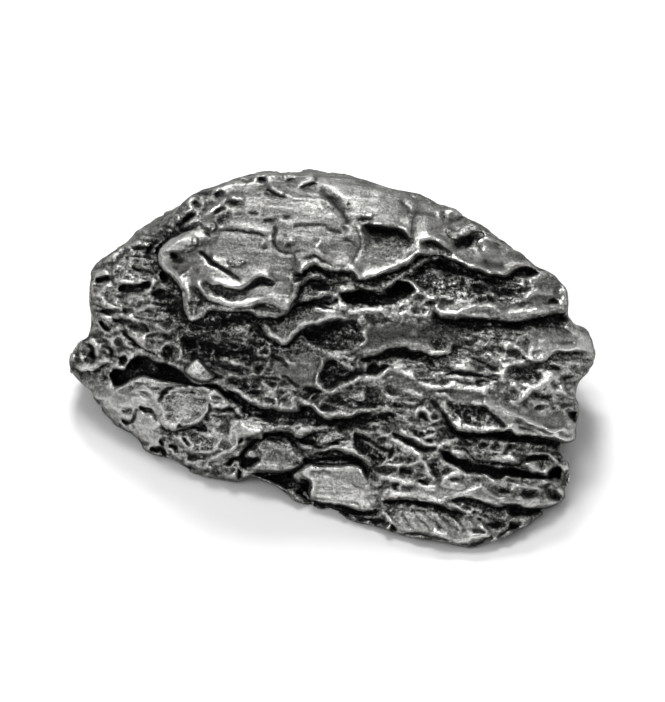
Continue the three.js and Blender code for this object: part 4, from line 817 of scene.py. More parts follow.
    ([502, 459, 510, 459, 518, 458, 521, 454], 0.5, 1.8),
    ([462, 448, 467, 454, 472, 459, 478, 464], 0.7, 1.8),
    ([449, 450, 456, 451, 462, 453, 466, 457], 0.8, 2.2),
    ([524, 456, 530, 454, 540, 453, 546, 453.5, 551, 457, 556, 462], 0.6, 1.6),
    ([523, 463, 530, 465, 536, 469, 546, 471, 549, 466], 0.8, 1.8),
    ([560, 451, 563, 457, 567, 462, 570, 468, 572, 474, 571, 482, 568, 489], 0.8, 2.8),
    ([553, 453, 556, 458, 558, 463, 562, 463], 0.5, 1.8),
    ([440, 481, 446, 477.5, 452, 474.5, 458, 472.5, 464, 472.5, 470, 474.5, 478, 475.5, 486, 476.5, 490,
     479, 497, 482, 504, 484, 510, 486], 0.8, 2.2),
    ([396, 489, 400, 486, 405, 484, 412, 483, 420, 485, 427, 487, 433, 488, 440, 489], 0.7, 2),
    ([395, 498, 405, 497, 418, 498, 426, 498.5, 432, 499], -0.5, 1.4),
    ([467, 487, 470, 491, 478, 489.5, 483, 487.5, 487, 491, 492, 495, 498, 497.5, 504, 497.5, 508, 495],
     0.7, 2),
    ([449, 502, 453, 505.5, 460, 508.5, 468, 510.5, 474, 512.5], 0.7, 1.6),
    ([456, 503, 463, 503, 468, 506], 0.5, 1.3), ([474, 507, 478, 510, 482, 513], 0.6, 1.6),
    ([486, 511.5, 495, 508.5, 502, 507.5, 508, 508.5], 0.6, 1.7),
    ([508, 512, 507, 518, 507, 524, 508, 530], 0.7, 1.8),
    ([505, 535, 512, 533, 518, 530, 523, 527, 530, 523], 0.7, 2.4),
    ([510, 492, 512, 487.5, 518, 485.5, 525, 485.5, 532, 487.5, 540, 489.5, 546, 492], 0.8, 2.4),
    ([519, 494, 523, 499, 530, 501, 536, 499, 540, 495], 0.5, 2.6),
    ([546, 490, 553, 488, 559, 491, 563, 496, 563, 500, 556, 503.5, 549, 502, 546, 497], 0.5, 2.6),
    ([497, 490, 504, 489, 510, 492], -0.5, 1.8),
    # the fan
    ([409, 509, 417, 517, 424, 524, 428, 531], -0.35, 1.4), ([399, 513, 407, 521, 413, 531], -0.3, 1.2),
    ([421, 510, 430, 519, 436, 523, 443, 531], -0.4, 1.4),
    ([437, 513, 447, 521, 452, 527, 459, 533], -0.4, 1.4), ([450, 514, 458, 520, 466, 529], -0.4, 1.3),
    ([476, 517, 482, 522, 489, 527], -0.4, 1.3), ([414, 512, 424, 520, 431, 530], 0.2, 1.4),
    ([430, 511, 441, 521, 450, 532], 0.25, 1.5), ([444, 513, 455, 522, 462, 531], 0.3, 1.5),
    ([402, 511, 411, 520, 418, 531], 0.2, 1.3),
    ([428, 532, 434, 532.5, 440, 534.5, 446, 537.5, 451, 539.5, 456, 541, 462, 540, 468, 538, 474, 535.5,
     480, 535.5, 487, 536, 492, 535], 0.9, 2.4),
    ([467, 520, 472, 525, 474, 530], 0.8, 1.6), ([478, 525, 484, 529, 489, 533], 0.7, 1.5),
    ([461, 525, 464, 530], 0.6, 1.5),
    ([395, 535, 405, 535, 415, 534, 425, 535, 433, 537, 440, 539, 447, 541, 455, 544, 465, 545, 475, 544,
     485, 542, 495, 538], -0.8, 1.8),
    ([498, 536, 504, 534, 510, 529], -0.5, 1.8),
    # the flap and the gaps beside it
    ([312, 498, 325, 499, 338, 501.5, 350, 502.5, 360, 505], -0.5, 1.4),
    ([319, 471, 326, 473.5, 332, 476], -0.5, 1.6),
    ([308, 460.5, 320, 460.5, 332, 459.5, 345, 460], 0.4, 1.1), ([311, 463, 330, 462.5, 350, 462], 0.3, 1),
    ([243, 479, 248, 476, 252, 475.5, 258, 477.5, 266, 481.5, 275, 485.5, 281, 489.5, 286, 495, 291, 498],
     0.8, 1.8),
    ([291, 497, 300, 499.5, 307, 501.5, 311, 505], 0.8, 2.2), ([337, 513, 342, 516, 347, 520], 0.6, 1.7),
    ([347, 521, 356, 521, 366, 520, 376, 522, 386, 522], -0.7, 1.6),
    ([380, 510, 384, 514, 388, 518.5, 392, 522, 391, 526, 387, 530, 385, 535], 1, 1.9),
    ([356, 470, 360, 476, 366, 480], -0.3, 1.6), ([352, 484, 358, 488, 366, 490], -0.3, 1.6),
    # the lower ledges
    ([238, 423, 243, 426, 249, 428.5, 256, 430, 263, 430], 0.9, 2.4),
    ([264, 426, 268, 424.5, 272, 425, 280, 426, 290, 427, 300, 425.5, 304, 424], 0.8, 2),
    ([296, 430.5, 303, 430.5, 310, 429.5, 318, 428.5, 325, 427.5, 332, 426.5], 0.6, 2),
    ([261, 439.5, 256, 440.5, 252, 443.5, 250, 446.5, 246, 449.5, 244, 452.5, 240, 456.5, 237, 460, 233,
     460.5, 230, 464, 227, 468], -1.4, 1.9),
    ([244, 437, 241, 441, 237, 445], -0.9, 1.6),
    ([298, 441.5, 305, 442.5, 312, 443.5, 317, 446.5, 321, 446.5, 328, 444.5, 335, 442.5, 341, 441], -1.1,
     1.7),
    ([262, 438.5, 268, 442, 275, 445.5, 282, 448.5, 290, 448.5, 293, 452, 300, 457, 305, 463], 0.7, 2),
    ([284, 455, 290, 454, 296, 456], 0.6, 1.8), ([244, 451.5, 250, 452.5, 258, 452.5], 0.6, 1.5),
    ([246, 454.5, 254, 456.5, 260, 455.5], 0.5, 1.3),
    ([226, 470, 229, 468, 233, 465, 236, 462, 238, 466, 238, 470, 235, 474, 230, 477, 226, 476], 0.8, 1.8),
    ([205, 389, 209, 397, 209, 406, 205, 414, 198, 420, 188, 424, 176, 425, 166, 420, 160, 412], 1.1, 3.2),
    ([159, 405, 161, 397, 167, 390, 177, 386.5, 188, 386], -0.9, 2.2),
    ([196, 386, 206, 388, 214, 394, 220, 397], 0.7, 3),
    ([137, 384, 147, 383, 158, 384, 168, 386, 176, 389], 0.9, 3.6),
    ([128, 392, 136, 390, 146, 390, 154, 394, 158, 402], 0.7, 3.4),
    ([208, 402, 209, 408, 208, 413, 207, 416, 204, 421], -1.3, 1.8),
    ([211, 402, 216, 405, 222, 406, 228, 405, 232, 406], 0.7, 1.8),
    ([211, 412, 218, 414, 224, 413, 230, 414, 236, 418], 0.6, 1.8),
    ([172, 434, 178, 438, 183, 443, 189, 448, 195, 452], 0.7, 2.2),
    ([181, 437, 187, 443, 192, 448], -0.9, 1.8),
    ([203, 460, 210, 457.5, 218, 456.5, 224, 453.5, 230, 450.5, 236, 445.5, 240, 441], 0.9, 2.4),
    ([183, 463, 190, 462, 196, 463.5, 201, 466], 0.8, 2),
    ([202, 462, 208, 464.5, 212, 466.5, 215, 465], 0.7, 1.8), ([186, 467, 193, 469, 200, 469], -0.4, 2),
    ([300, 407, 303, 406, 310, 406, 316, 408.5, 322, 411.5, 327, 411.5, 333, 413.5, 340, 412.5, 345, 413.5,
     350, 415.5, 356, 413.5, 360, 412.5], 0.8, 2),
    ([245, 376, 250, 374, 256, 373.5, 261, 372.5, 264, 369, 267, 366, 269, 361, 271, 358], 0.7, 2.2),
    ([259, 380, 263, 383, 269, 387, 276, 389, 284, 389, 298, 391], 0.7, 2),
    ([263, 394, 270, 392, 276, 393.5, 279, 397], 0.5, 1.8),
    ([262, 398, 266, 396, 272, 397, 277, 400, 280, 404], 0.5, 1.6),
    ([361, 413, 368, 411, 376, 408, 382, 406], 0.7, 2), ([367, 422, 373, 423, 380, 427], 0.5, 1.6),
    ([352, 430.5, 360, 430.5, 368, 432, 376, 433, 384, 434.5, 390, 437.5, 396, 440.5, 402, 443.5, 408,
     447.5, 414, 451.5, 420, 456.5, 425, 459], 1, 2.3),
    ([352, 434, 360, 437, 368, 439, 376, 444, 384, 449, 390, 453, 391, 458], -1.2, 2.2),
    ([392, 446, 392, 452, 390, 458, 387, 458], -0.9, 1.5),
    ([384, 467.5, 392, 466.5, 400, 466, 408, 466, 416, 464, 422, 462, 426, 464], 0.7, 2),
    ([370, 468, 375, 466, 380, 464], -0.6, 1.4),
    ([369, 471, 375, 473, 380, 475, 388, 478, 398, 480, 406, 482.5, 412, 484], 0.8, 2),
    ([424, 459, 427, 465, 430, 472, 434, 478, 439, 482], 0.8, 2.2),
    ([400, 470, 406, 472, 412, 474], -0.9, 1.8), ([417, 480, 424, 483, 430, 485], -0.9, 1.7),
    ([398, 429, 404, 432, 410, 434, 416, 439, 422, 444.5, 428, 446.5, 434, 446, 440, 446], 0.9, 2.2),
    ([426, 458, 432, 456, 436, 452, 440, 447, 446, 443.5, 452, 441, 458, 440, 463, 440], 0.9, 2.4),
    ([344, 446, 350, 444, 356, 446], 0.4, 1.8),
    # the left side
    ([123, 336, 127, 342, 132, 347, 138, 350.5, 146, 352, 154, 355, 161, 358.5, 168, 362], 0.8, 2.6),
    ([118, 355, 122, 353, 129, 352.5, 134, 358, 135, 362, 130, 367, 124, 369, 118, 366, 116, 360], 0.7,
     1.8),
    ([122, 325, 126, 326, 131, 330, 136, 332], 0.6, 1.8),
    ([153, 322, 157, 326, 163, 330, 168, 333, 169, 336], 0.7, 2),
    ([162, 352, 164, 345, 169, 342, 175, 344, 180, 348, 180, 355, 176, 362], 0.7, 1.8),
    ([130, 382, 135, 380, 142, 378.5, 150, 378.5, 158, 379.5, 166, 381.5, 173, 384.5, 180, 386.5, 188, 389],
     0.9, 2.2),
    ([133, 390, 140, 390, 146, 391, 152, 395], 0.6, 1.8),
    ([129, 398, 137, 397, 143, 400, 149, 404], 0.6, 1.8),
    ([104, 387, 110, 388, 113, 391, 118, 389, 123, 386, 130, 385], 0.7, 2),
    ([160, 400, 163, 394, 168, 390, 176, 388], -0.9, 1.8), ([85, 342, 90, 346, 92, 353, 93, 362], -1, 2.2),
    ([88, 336, 92, 342, 96, 350, 99, 358], 0.7, 2.2), ([79, 350, 81, 357, 83, 363], 0.6, 1.8),
    ([72, 352, 74, 359, 76, 362], 0.6, 1.8), ([144, 418.5, 150, 417.5, 157, 417.5], 0.7, 1.7),
    ([120, 418, 126, 421.5, 131, 421, 134, 417, 136, 411, 140, 407], -0.9, 1.6),
    ([117, 424, 119, 424.5, 121, 429], -0.8, 1.3), ([121, 432, 126, 434.5, 130, 435, 131, 430], -0.8, 1.4),
    ([149, 448, 156, 449, 160, 447.5, 163, 449.5, 165, 453, 163, 457], -1.2, 1.7),
    ([159, 440, 163, 444, 162, 447], -0.8, 1.5), ([166, 447, 171, 448, 176, 454], 0.5, 1.8),
    ([168, 447, 174, 446, 178, 450], -0.7, 1.5), ([125, 248, 130, 246, 137, 245, 143, 245], 0.6, 2),
    ([133, 236, 133, 231, 138, 229, 144, 230, 147, 235], 0.6, 1.7),
    ([114, 278, 122, 281, 130, 282, 138, 281, 144, 278], 0.8, 1.8),
    ([148, 278, 152, 281, 152, 286, 148, 289, 145, 291, 147, 295, 151, 294, 154, 292], 0.7, 1.8),
    ([93, 275, 98, 273, 104, 272, 109, 274], 0.7, 1.8),
    ([95, 280, 92, 285, 93, 291, 96, 295, 101, 293, 104, 288, 107, 285, 111, 281], 0.7, 1.8),
    ([101, 297, 104, 302, 104, 306], 0.6, 1.8), ([105, 305, 110, 308, 117, 309, 124, 310], 0.7, 1.8),
    ([130, 311, 138, 311, 144, 309, 148, 306, 153, 305, 158, 305], 0.7, 1.8),
    ([100, 314, 107, 317, 115, 316, 122, 315, 128, 316, 134, 314], 0.7, 2),
    ([100, 310, 108, 313, 118, 312.5, 128, 313], -0.8, 1.6),
    ([152, 256, 154, 249, 158, 244, 163, 241, 168, 239], 0.6, 1.8),
    ([147, 262, 149, 252, 154, 244, 160, 239], -0.7, 1.8), ([140, 252, 144, 260, 143, 268], 0.6, 2),
    ([132, 266, 138, 270, 144, 270], -0.6, 1.8), ([104, 262, 112, 256, 120, 253], 0.5, 2),
    ([112, 322, 120, 320, 130, 321], -0.6, 1.7), ([100, 337, 108, 340, 116, 338], 0.6, 2),
    ([104, 346, 110, 350, 112, 358], -0.6, 1.8), ([136, 322, 144, 326, 150, 334], -0.6, 1.7),
    ([138, 336, 146, 340, 152, 346], 0.5, 1.8),
    ([227, 362, 232, 361.5, 236, 363, 243, 365.5, 250, 367.5, 256, 368.5], 0.7, 1.8),
    ([220, 385, 223, 381, 228, 377.5, 234, 375.5, 240, 377], 0.7, 2.2),
    ([179, 331, 185, 330, 191, 331], 0.7, 1.6),
    ([262, 351, 263, 347, 267, 346, 270, 349, 269, 354, 265, 355, 262, 351], 0.6, 1.5),
    ([225, 346, 233, 349, 242, 349], 0.5, 1.7),
]

# Small knobs and pits: u, v, radius, height.
KNOBS = [
    (203, 203, 3, 0.6), (347, 205, 3, 0.4), (349, 205, 2, -0.5), (364, 215, 2, 0.4), (371, 214, 2, 0.4),
    (253, 238, 2, 0.4), (263, 244, 2.5, 0.4), (285, 245, 2.5, 0.4), (411, 308, 3, 0.6), (427, 311, 3, 0.6),
    (364, 365, 3.5, 0.9), (357, 366, 2.5, 0.5), (415, 334, 3, 0.4), (492, 388, 4, 0.6), (565, 394, 3, 0.7),
    (573, 396, 3, 0.6), (474, 418, 4, 0.7), (488, 419, 2.5, 0.6), (478, 405, 3, 0.4), (525, 410, 3, 0.7),
    (511, 403, 3.5, 0.7), (543, 412, 3.5, 0.6), (482, 446, 3, -0.9), (568, 480, 3, 0.6),
    (565, 471, 2.5, 0.5), (514, 519, 3, 0.7), (526, 519, 5, 0.7), (522, 523, 3, 0.5), (519, 528, 2.5, 0.6),
    (296, 489, 5, 0.8), (302, 490, 2.5, 1), (288, 484, 3, 0.5), (298, 497, 4, 0.5), (341, 517, 3, 0.6),
    (352, 516, 4, 0.6), (369, 515, 5, 0.6), (235, 478, 3, 0.6), (408, 414, 4, 0.6), (396, 443, 3, 0.6),
    (404, 455, 3, 0.6), (412, 453, 4.5, 0.8), (418, 460, 3.5, 0.5), (397, 450, 3, -0.8),
    (403, 458, 3, -0.8), (396, 461, 3, -0.6), (409, 461, 3, -0.5), (156, 424, 4, 0.7), (163, 423, 4, 0.5),
    (142, 443, 2, -0.8), (146, 444, 2, -0.6), (214, 354, 5, 0.7), (224, 357, 4, 0.6), (266, 351, 2.5, -0.4),
    (198, 474, 3, -0.5), (203, 472, 2.5, -0.5), (138, 236, 2.5, -0.5), (450, 255, 2.5, -0.8),
    (189, 204, 3, 0.5), (187, 212, 3, 0.5), (120, 262, 3, 0.5), (108, 268, 3, 0.4), (100, 346, 3, 0.5),
    (116, 330, 3, 0.6), (126, 424, 2.5, -0.5), (133, 427, 2, -0.5), (170, 212, 3, 0.4), (546, 402, 4, 0.5),
    (556, 408, 3, 0.4), (420, 398, 3, 0.4), (438, 400, 3, -0.5), (388, 408, 3, 0.4),
]

# Smooth regions of the picture plane. Everywhere else the metal lies in thin, rough layers.
PLATE = [
    160, 262, 158, 250, 168, 240, 196, 228, 215, 195, 232, 182, 262, 172, 300, 168, 345, 172, 390, 188,
    440, 204, 480, 220, 515, 240, 540, 268, 500, 276, 460, 266, 441, 255, 415, 260, 384, 275, 359, 279,
    313, 266, 290, 274, 297, 303, 280, 309, 262, 303, 234, 307, 205, 300, 186, 285, 178, 284,
]
SMOOTH_PATCHES = [
    [398, 508, 440, 514, 476, 519, 496, 526, 496, 536, 462, 542, 420, 537, 396, 528],
    [114, 390, 158, 394, 160, 420, 162, 452, 140, 440, 126, 408],
    [66, 376, 90, 373, 112, 388, 128, 400, 140, 422, 150, 440, 145, 452, 120, 434, 96, 410, 78, 386],
    [256, 442, 268, 443, 290, 450, 305, 464, 290, 471, 262, 470, 252, 466],
    [268, 322, 300, 312, 340, 314, 330, 320, 300, 330, 284, 342, 270, 336],
    [366, 330, 385, 325, 430, 322, 470, 326, 452, 346, 425, 353, 404, 348, 375, 354, 364, 344],
    [386, 374, 404, 374, 424, 388, 470, 390, 484, 400, 446, 400, 430, 396, 400, 390],
    [305, 467, 360, 465, 368, 486, 376, 506, 345, 505, 311, 499, 309, 480, 296, 478],
    [500, 405, 560, 412, 578, 432, 572, 443, 548, 438, 514, 428], [255, 322, 268, 326, 276, 340, 262, 336],
    [420, 487, 470, 482, 500, 492, 545, 500, 560, 506, 520, 505, 470, 497, 430, 498, 380, 498],
    [484, 400, 505, 404, 530, 412, 556, 416, 574, 430, 566, 440, 545, 436, 515, 428, 498, 418],
    [380, 490, 430, 491, 450, 483, 464, 484, 478, 491, 505, 493, 530, 496, 562, 500, 556, 507, 500, 502,
     450, 498, 410, 500],
    [230, 422, 262, 424, 262, 436, 240, 440],
    [528, 272, 564, 282, 566, 300, 520, 312, 450, 314, 440, 304, 500, 306, 528, 296],
    [275, 355, 300, 352, 320, 366, 316, 385, 296, 388, 280, 372],
    [540, 330, 590, 334, 594, 352, 560, 352, 530, 346],
]
PLATE_FADE = 6
PATCH_FADE = 5
PATCH_SMOOTHNESS = 0.85

# Patches that are lighter or darker than the rest: outline and shift of the tone.
TONE_PATCHES = [
    ([168, 403, 176, 395, 190, 393, 202, 400, 199, 410, 186, 415, 172, 413], 0.9),
    ([190, 432, 205, 434, 217, 444, 208, 452, 194, 450], 0.2),
    ([95, 398, 160, 395, 236, 402, 262, 438, 240, 476, 190, 468, 150, 450, 108, 424], 0.18),
    ([398, 507, 440, 514, 490, 526, 500, 540, 460, 546, 410, 535, 393, 520], 0.06),
    ([490, 340, 590, 330, 596, 360, 575, 400, 520, 400, 495, 370], 0.08),
    ([309, 468, 360, 466, 372, 505, 312, 500], 0.12), ([258, 446, 292, 450, 302, 466, 262, 470], -0.1),
    ([186, 282, 240, 300, 300, 296, 350, 284, 352, 262, 290, 262, 230, 262, 180, 262], 0.05),
    ([366, 232, 420, 246, 400, 262, 366, 262], -0.05), ([470, 400, 580, 402, 580, 440, 470, 430], 0.06),
    ([86, 240, 150, 232, 160, 330, 86, 340], 0.05),
    ([378, 480, 440, 482, 560, 500, 520, 508, 380, 500], 0.08),
    ([370, 330, 420, 324, 462, 328, 450, 348, 404, 348, 376, 354], -0.22),
    ([182, 330, 240, 336, 262, 350, 262, 372, 212, 368, 184, 350], -0.16),
    ([270, 355, 300, 352, 318, 366, 314, 386, 296, 388, 280, 372], -0.08),
    ([362, 186, 420, 196, 470, 218, 440, 232, 400, 226, 366, 216], -0.05),
    ([342, 198, 380, 200, 386, 224, 360, 224, 346, 212], -0.09),
    ([362, 228, 404, 230, 404, 262, 372, 262], -0.12),
    ([230, 190, 300, 180, 330, 200, 358, 256, 300, 268, 240, 262, 200, 244], -0.16),
    ([190, 262, 300, 262, 346, 274, 300, 300, 250, 304, 200, 296], -0.06),
    ([484, 400, 505, 404, 530, 412, 556, 416, 574, 430, 566, 440, 545, 436, 515, 428, 498, 418], 0.12),
    ([500, 345, 590, 334, 594, 356, 574, 376, 566, 396, 530, 404, 500, 380], 0.15),
    ([395, 445, 412, 440, 430, 462, 436, 482, 420, 482, 404, 466], 0.12),
    ([306, 430, 350, 428, 350, 448, 306, 452], 0.1), ([270, 408, 380, 400, 400, 424, 300, 420], -0.05),
    ([404, 260, 500, 280, 500, 300, 430, 298], 0.06), ([336, 310, 450, 312, 440, 326, 350, 326], 0.06),
]
TONE_FADE = 10

# The texture between the drawn forms, as noise, and its heights in mm.
BEND = [(45, 45, 6)]
LAYERS = [(34, 5.2, 1), (17, 2.6, 0.6)]
STRANDS = [(26, 7, 1), (11, 4, 0.5)]
LUMPS = [(12, 8, 1), (5, 4, 0.6)]
TWIST = [(9, 9, 4)]
GRIT = [(3.4, 2.8, 1), (1.6, 1.5, 0.7)]
DENTS = [(26, 10, 1), (9, 6, 0.5)]
LONG_STREAKS = [(42, 2.4, 1)]
SHORT_STREAKS = [(24, 1.3, 0.6)]
LAYER_HEIGHT = 0.44
CREASE_HEIGHT = 0.46
LUMP_HEIGHT = 0.32
ROUGH_GRIT = 0.09
GRAINY_GRIT = 0.20
STREAK_HEIGHT = 0.05
DENT_HEIGHT = 0.12
SMOOTH_GRIT = 0.02
FRONT_SLANT = 9
HIDDEN_SLANT = -3


def front_sheet():
    """The relief and the tone of all that faces the camera."""
    sheet = Sheet(*FRONT_AREA, FRONT_RATE)
    makers = (sheet.ledge, sheet.pit, sheet.mound, sheet.ridge, sheet.knob)
    for make, forms in zip(makers, (LEDGES, PITS, MOUNDS, RIDGES, KNOBS)):
        for form in forms:
            make(*form)
    smooth = sheet.region(PLATE, PLATE_FADE)
    for outline in SMOOTH_PATCHES:
        smooth = np.maximum(smooth, PATCH_SMOOTHNESS * sheet.region(outline, PATCH_FADE))
    streaks, grit = add_texture(sheet, smooth, FRONT_SLANT)
    middle = 0.485 + 0.03 * smooth + 0.05 * streaks + 0.09 * grit
    for outline, shift in TONE_PATCHES:
        middle = middle + shift * sheet.region(outline, TONE_FADE)
    sheet.find_tone(middle, smooth)
    return sheet


def add_texture(sheet, smooth, slant):
    """Layers, lumps and grain where the metal is rough, streaks and soft dents where it is smooth."""
    u, v = sheet.u, sheet.v
    bend = layered_noise((u, v), BEND, 11)
    slanted = turned(u, v + bend, slant)
    layers = 0.6 * (1 - 2.2 * np.abs(layered_noise(slanted, LAYERS, 12)))
    strands = np.minimum(np.abs(layered_noise(slanted, STRANDS, 27)), 0.6)
    layers = layers + 0.8 * (2.6 * strands - 0.9)
    lumps = layered_noise((u, v), LUMPS, 14)
    twisted_u = u + layered_noise((u, v), TWIST, 22)
    twisted_v = v + layered_noise((u, v), TWIST, 23)
    creases = 1 - 3.0 * np.abs(noise(twisted_u / 15, twisted_v / 8, seed=24))
    creases = creases + 0.5 * noise(twisted_u / 5, twisted_v / 3.5, seed=25)
    creased = ease(noise(u / 38, v / 26, seed=26), -0.35, 0.35)
    grit = layered_noise((u, v), GRIT, 16)
    rough = 1 - smooth
    grainy = np.clip(sheet.grain, 0, 1)
    layered = (1 - creased) * LAYER_HEIGHT * layers + creased * CREASE_HEIGHT * creases
    gritty = ROUGH_GRIT * rough + GRAINY_GRIT * grainy
    sheet.height += rough * (layered + LUMP_HEIGHT * lumps) + gritty * grit
    streaks = layered_noise(turned(u, v + 0.5 * bend, 6), LONG_STREAKS, 18)
    streaks = streaks + layered_noise(turned(u, v, 2), SHORT_STREAKS, 19)
    dents = layered_noise((u, v), DENTS, 20)
    sheet.height += smooth * (STREAK_HEIGHT * streaks + DENT_HEIGHT * dents + SMOOTH_GRIT * grit)
    sheet.grain = np.clip(sheet.grain + 0.4 * rough, 0, 1)
    return streaks * smooth, grit * (0.3 * rough + grainy)


# The relief of the sides that the camera doesn't see, on a sheet wrapped round the lump.
# Its px are the size of the picture's, and it starts and ends at the front.
GIRTH_PX_PER_DEGREE = 0.8 * PX_PER_MM
WRAP_HEIGHT = 48.0
WRAP_RATE = 1.6

# The main ledges of the hidden sides: line in degrees of azimuth and mm of height, rise and drop.
HIDDEN_LEDGES = [
    ([-20, 34, 8, 33, 28, 31, 48, 33, 70, 30, 92, 31, 112, 28, 132, 30, 150, 27, 172, 29], 0.9, 2.6),
    ([-14, 24, 5, 23, 22, 20, 40, 22, 58, 19, 74, 21, 88, 17], 0.8, 2.4),
    ([74, 25, 96, 21, 116, 23, 134, 19, 156, 20, 172, 16, 184, 18], 0.9, 2.6),
    ([-10, 13, 14, 11, 34, 12, 52, 9, 72, 12, 90, 10, 108, 13, 128, 10], 0.8, 2.4),
    ([118, 7, 140, 9, 160, 6, 180, 8], 0.7, 2), ([20, 5, 30, 5, 50, 4, 70, 6, 88, 4, 104, 5], 0.6, 1.8),
    ([30, 39, 52, 38, 76, 39.5, 98, 37, 120, 38, 140, 35], 0.6, 1.6),
]
HIDDEN_REACH = (16, 11)
HIDDEN_BEAD = 0.5

# What is scattered over the hidden sides: how many, and over which azimuths and heights.
SCATTER_SEED = 7
SCATTERED_LINES = 150
LINE_SPAN = ((-25, 205), (2, 42))
SCATTERED_PITS = 46
PIT_SPAN = ((-20, 200), (3, 40))
PIT_CORNERS = 8
PIT_WALL = 3.0
EVEN_PATCHES = [(60, 40, 1)]


def around(numbers):
    """Turns [azimuth in degrees from -90 to 270, height in mm, ...] into places on the wrapped sheet."""
    azimuth, height = np.array(numbers, float).reshape(-1, 2).T
    return np.column_stack([(azimuth + 90) * GIRTH_PX_PER_DEGREE, (WRAP_HEIGHT - height) * PX_PER_MM]).ravel()


def scatter_lines(sheet, draw):
    """Short ledges, ridges and grooves."""
    for _ in range(SCATTERED_LINES):
        start = [draw.uniform(*span) for span in LINE_SPAN]
        count = int(draw.integers(3, 6))
        steps = np.cumsum(np.column_stack([draw.uniform(3, 6, count), draw.normal(0, 1.1, count)]), axis=0)
        line = around((steps + start).ravel())
        kind = draw.integers(0, 3)
        if kind == 0:
            step = [draw.uniform(0.3, 0.7), draw.uniform(0.8, 2.0), draw.uniform(6, 12), draw.uniform(5, 8)]
            sheet.ledge(line, *step, 0.2)
        elif kind == 1:
            sheet.ridge(line, draw.uniform(0.4, 1.0), draw.uniform(1.6, 2.8))
        else:
            sheet.ridge(line, -draw.uniform(0.6, 1.5), draw.uniform(1.4, 2.6))


def scatter_pits(sheet, draw):
    """Uneven pits, wider than they are high."""
    turn = np.linspace(0, 2 * np.pi, PIT_CORNERS, endpoint=False)
    for _ in range(SCATTERED_PITS):
        middle = np.array([draw.uniform(*span) for span in PIT_SPAN])
        size = draw.uniform(0.7, 1.3, PIT_CORNERS) * draw.uniform(0.8, 2.4)
        ring = middle + np.column_stack([size * 1.7 * np.cos(turn) / 0.8, size * np.sin(turn)])
        depth, dark, grain = draw.uniform(0.6, 2.0), draw.uniform(0.3, 1.0), draw.uniform(0.2, 1.0)
        sheet.pit(around(ring.ravel()), depth, PIT_WALL, dark, grain)


def hidden_sheet():
    """The relief and the tone of the hidden sides."""
    sheet = Sheet(0, 0, 360 * GIRTH_PX_PER_DEGREE, WRAP_HEIGHT * PX_PER_MM, WRAP_RATE)
    for line, up, down in HIDDEN_LEDGES:
        sheet.ledge(around(line), up, down, *HIDDEN_REACH, HIDDEN_BEAD)
    draw = np.random.default_rng(SCATTER_SEED)
    scatter_lines(sheet, draw)
    scatter_pits(sheet, draw)
    even = ease(layered_noise((sheet.u, sheet.v), EVEN_PATCHES, 31), 0.15, 0.6)
    streaks, grit = add_texture(sheet, PATCH_SMOOTHNESS * even, HIDDEN_SLANT)
    sheet.find_tone(0.48 + 0.05 * even + 0.05 * streaks + 0.10 * grit, PATCH_SMOOTHNESS * even)
    return sheet


# The lump as a field: below zero inside, above zero outside, in millimetres

# Noise that roughens the hidden sides, the cut along the silhouette and the cut along the box.
HIDDEN_LUMPS = [(3.4, 3.4, 2.6, 0.30), (1.3, 1.3, 1.0, 0.16)]
SILHOUETTE_BITES = [(3, 3, 2.4, 0.20), (1, 1, 1, 0.12)]
BOX_BITES = [(3, 3, 2.4, 0.45), (1, 1, 1, 0.2)]
NEAR_SURFACE = 4.0
NEAR_CUT = 1.5

# How deep the hidden relief bites into the silhouette: where it is even, and at most.
EVEN_BITE = 0.8
DEEPEST_BITE = 3.5

# The underside: the hollows round the places that it stands on, and the ripples in them.
FOOT_HOLLOWS = [(17, 15, 1), (7, 6, 0.5)]
FOOT_RIPPLES = [(2.6, 2.2, 1), (1.2, 1.1, 0.6)]
FOOT_DEPTH = 1.9


def smooth_max(a, b, width):
    """The larger of two fields, with a round inner corner."""
    blend = np.clip(0.5 + 0.5 * (a - b) / width, 0, 1)
    return b + (a - b) * blend + width * blend * (1 - blend)


def outline_radius(azimuth, z):
    """The outline's radius, rounded between the listed radii."""
    turn = (np.degrees(azimuth) % 360) / AZIMUTH_STEP
    index = np.floor(turn).astype(int)
    heights = np.array(sorted(OUTLINES), float)
    rows = []
    for height in sorted(OUTLINES):
        radii = np.array(OUTLINES[height], float)
        a, b, c, d = (radii[(index + step) % len(radii)] for step in (-1, 0, 1, 2))
        rows.append(smooth_step(a, b, c, d, turn - index))
    rows = np.stack(rows)
    z = np.clip(z, heights[0], heights[-1])
    low = np.clip(np.searchsorted(heights, z, side="right") - 1, 0, len(heights) - 2)
    part = (z - heights[low]) / (heights[low + 1] - heights[low])
    return rows[low] * (1 - part)[:, None, None] + rows[low + 1] * part[:, None, None]


def project(x, y, z):
    """Where a place shows in the picture plane, and how deep it lies."""
    depth = (y - EYE[1]) * FORWARD[1] + (z - EYE[2]) * FORWARD[2]
    u = PICTURE_CENTRE[0] + FOCAL_PX * (x - EYE[0]) / depth
    v = PICTURE_CENTRE[1] - FOCAL_PX * ((y - EYE[1]) * UPWARD[1] + (z - EYE[2]) * UPWARD[2]) / depth
    return u, v, depth


def lump_field(z, y, x):
    """The smooth lump's field on a grid of heights, rows and columns."""
    gy, gx = np.meshgrid(y, x, indexing="ij")
    dx, dy = gx - CENTRE_LINE[0], gy - CENTRE_LINE[1]
    side = SIDE_SLOPE * (np.hypot(dx, dy) - outline_radius(np.arctan2(dy, dx), z))
    fall = TOP_CURVE[0] * (gx - TOP_SUMMIT[0]) ** 2 + TOP_CURVE[1] * (gy - TOP_SUMMIT[1]) ** 2
    top = TOP_HEIGHT - TOP_FALL * np.tanh(fall / TOP_FALL)
    return smooth_max(side, TOP_SLOPE * (z[:, None, None] - top), EDGE_ROUND) - SPARE_MARGIN


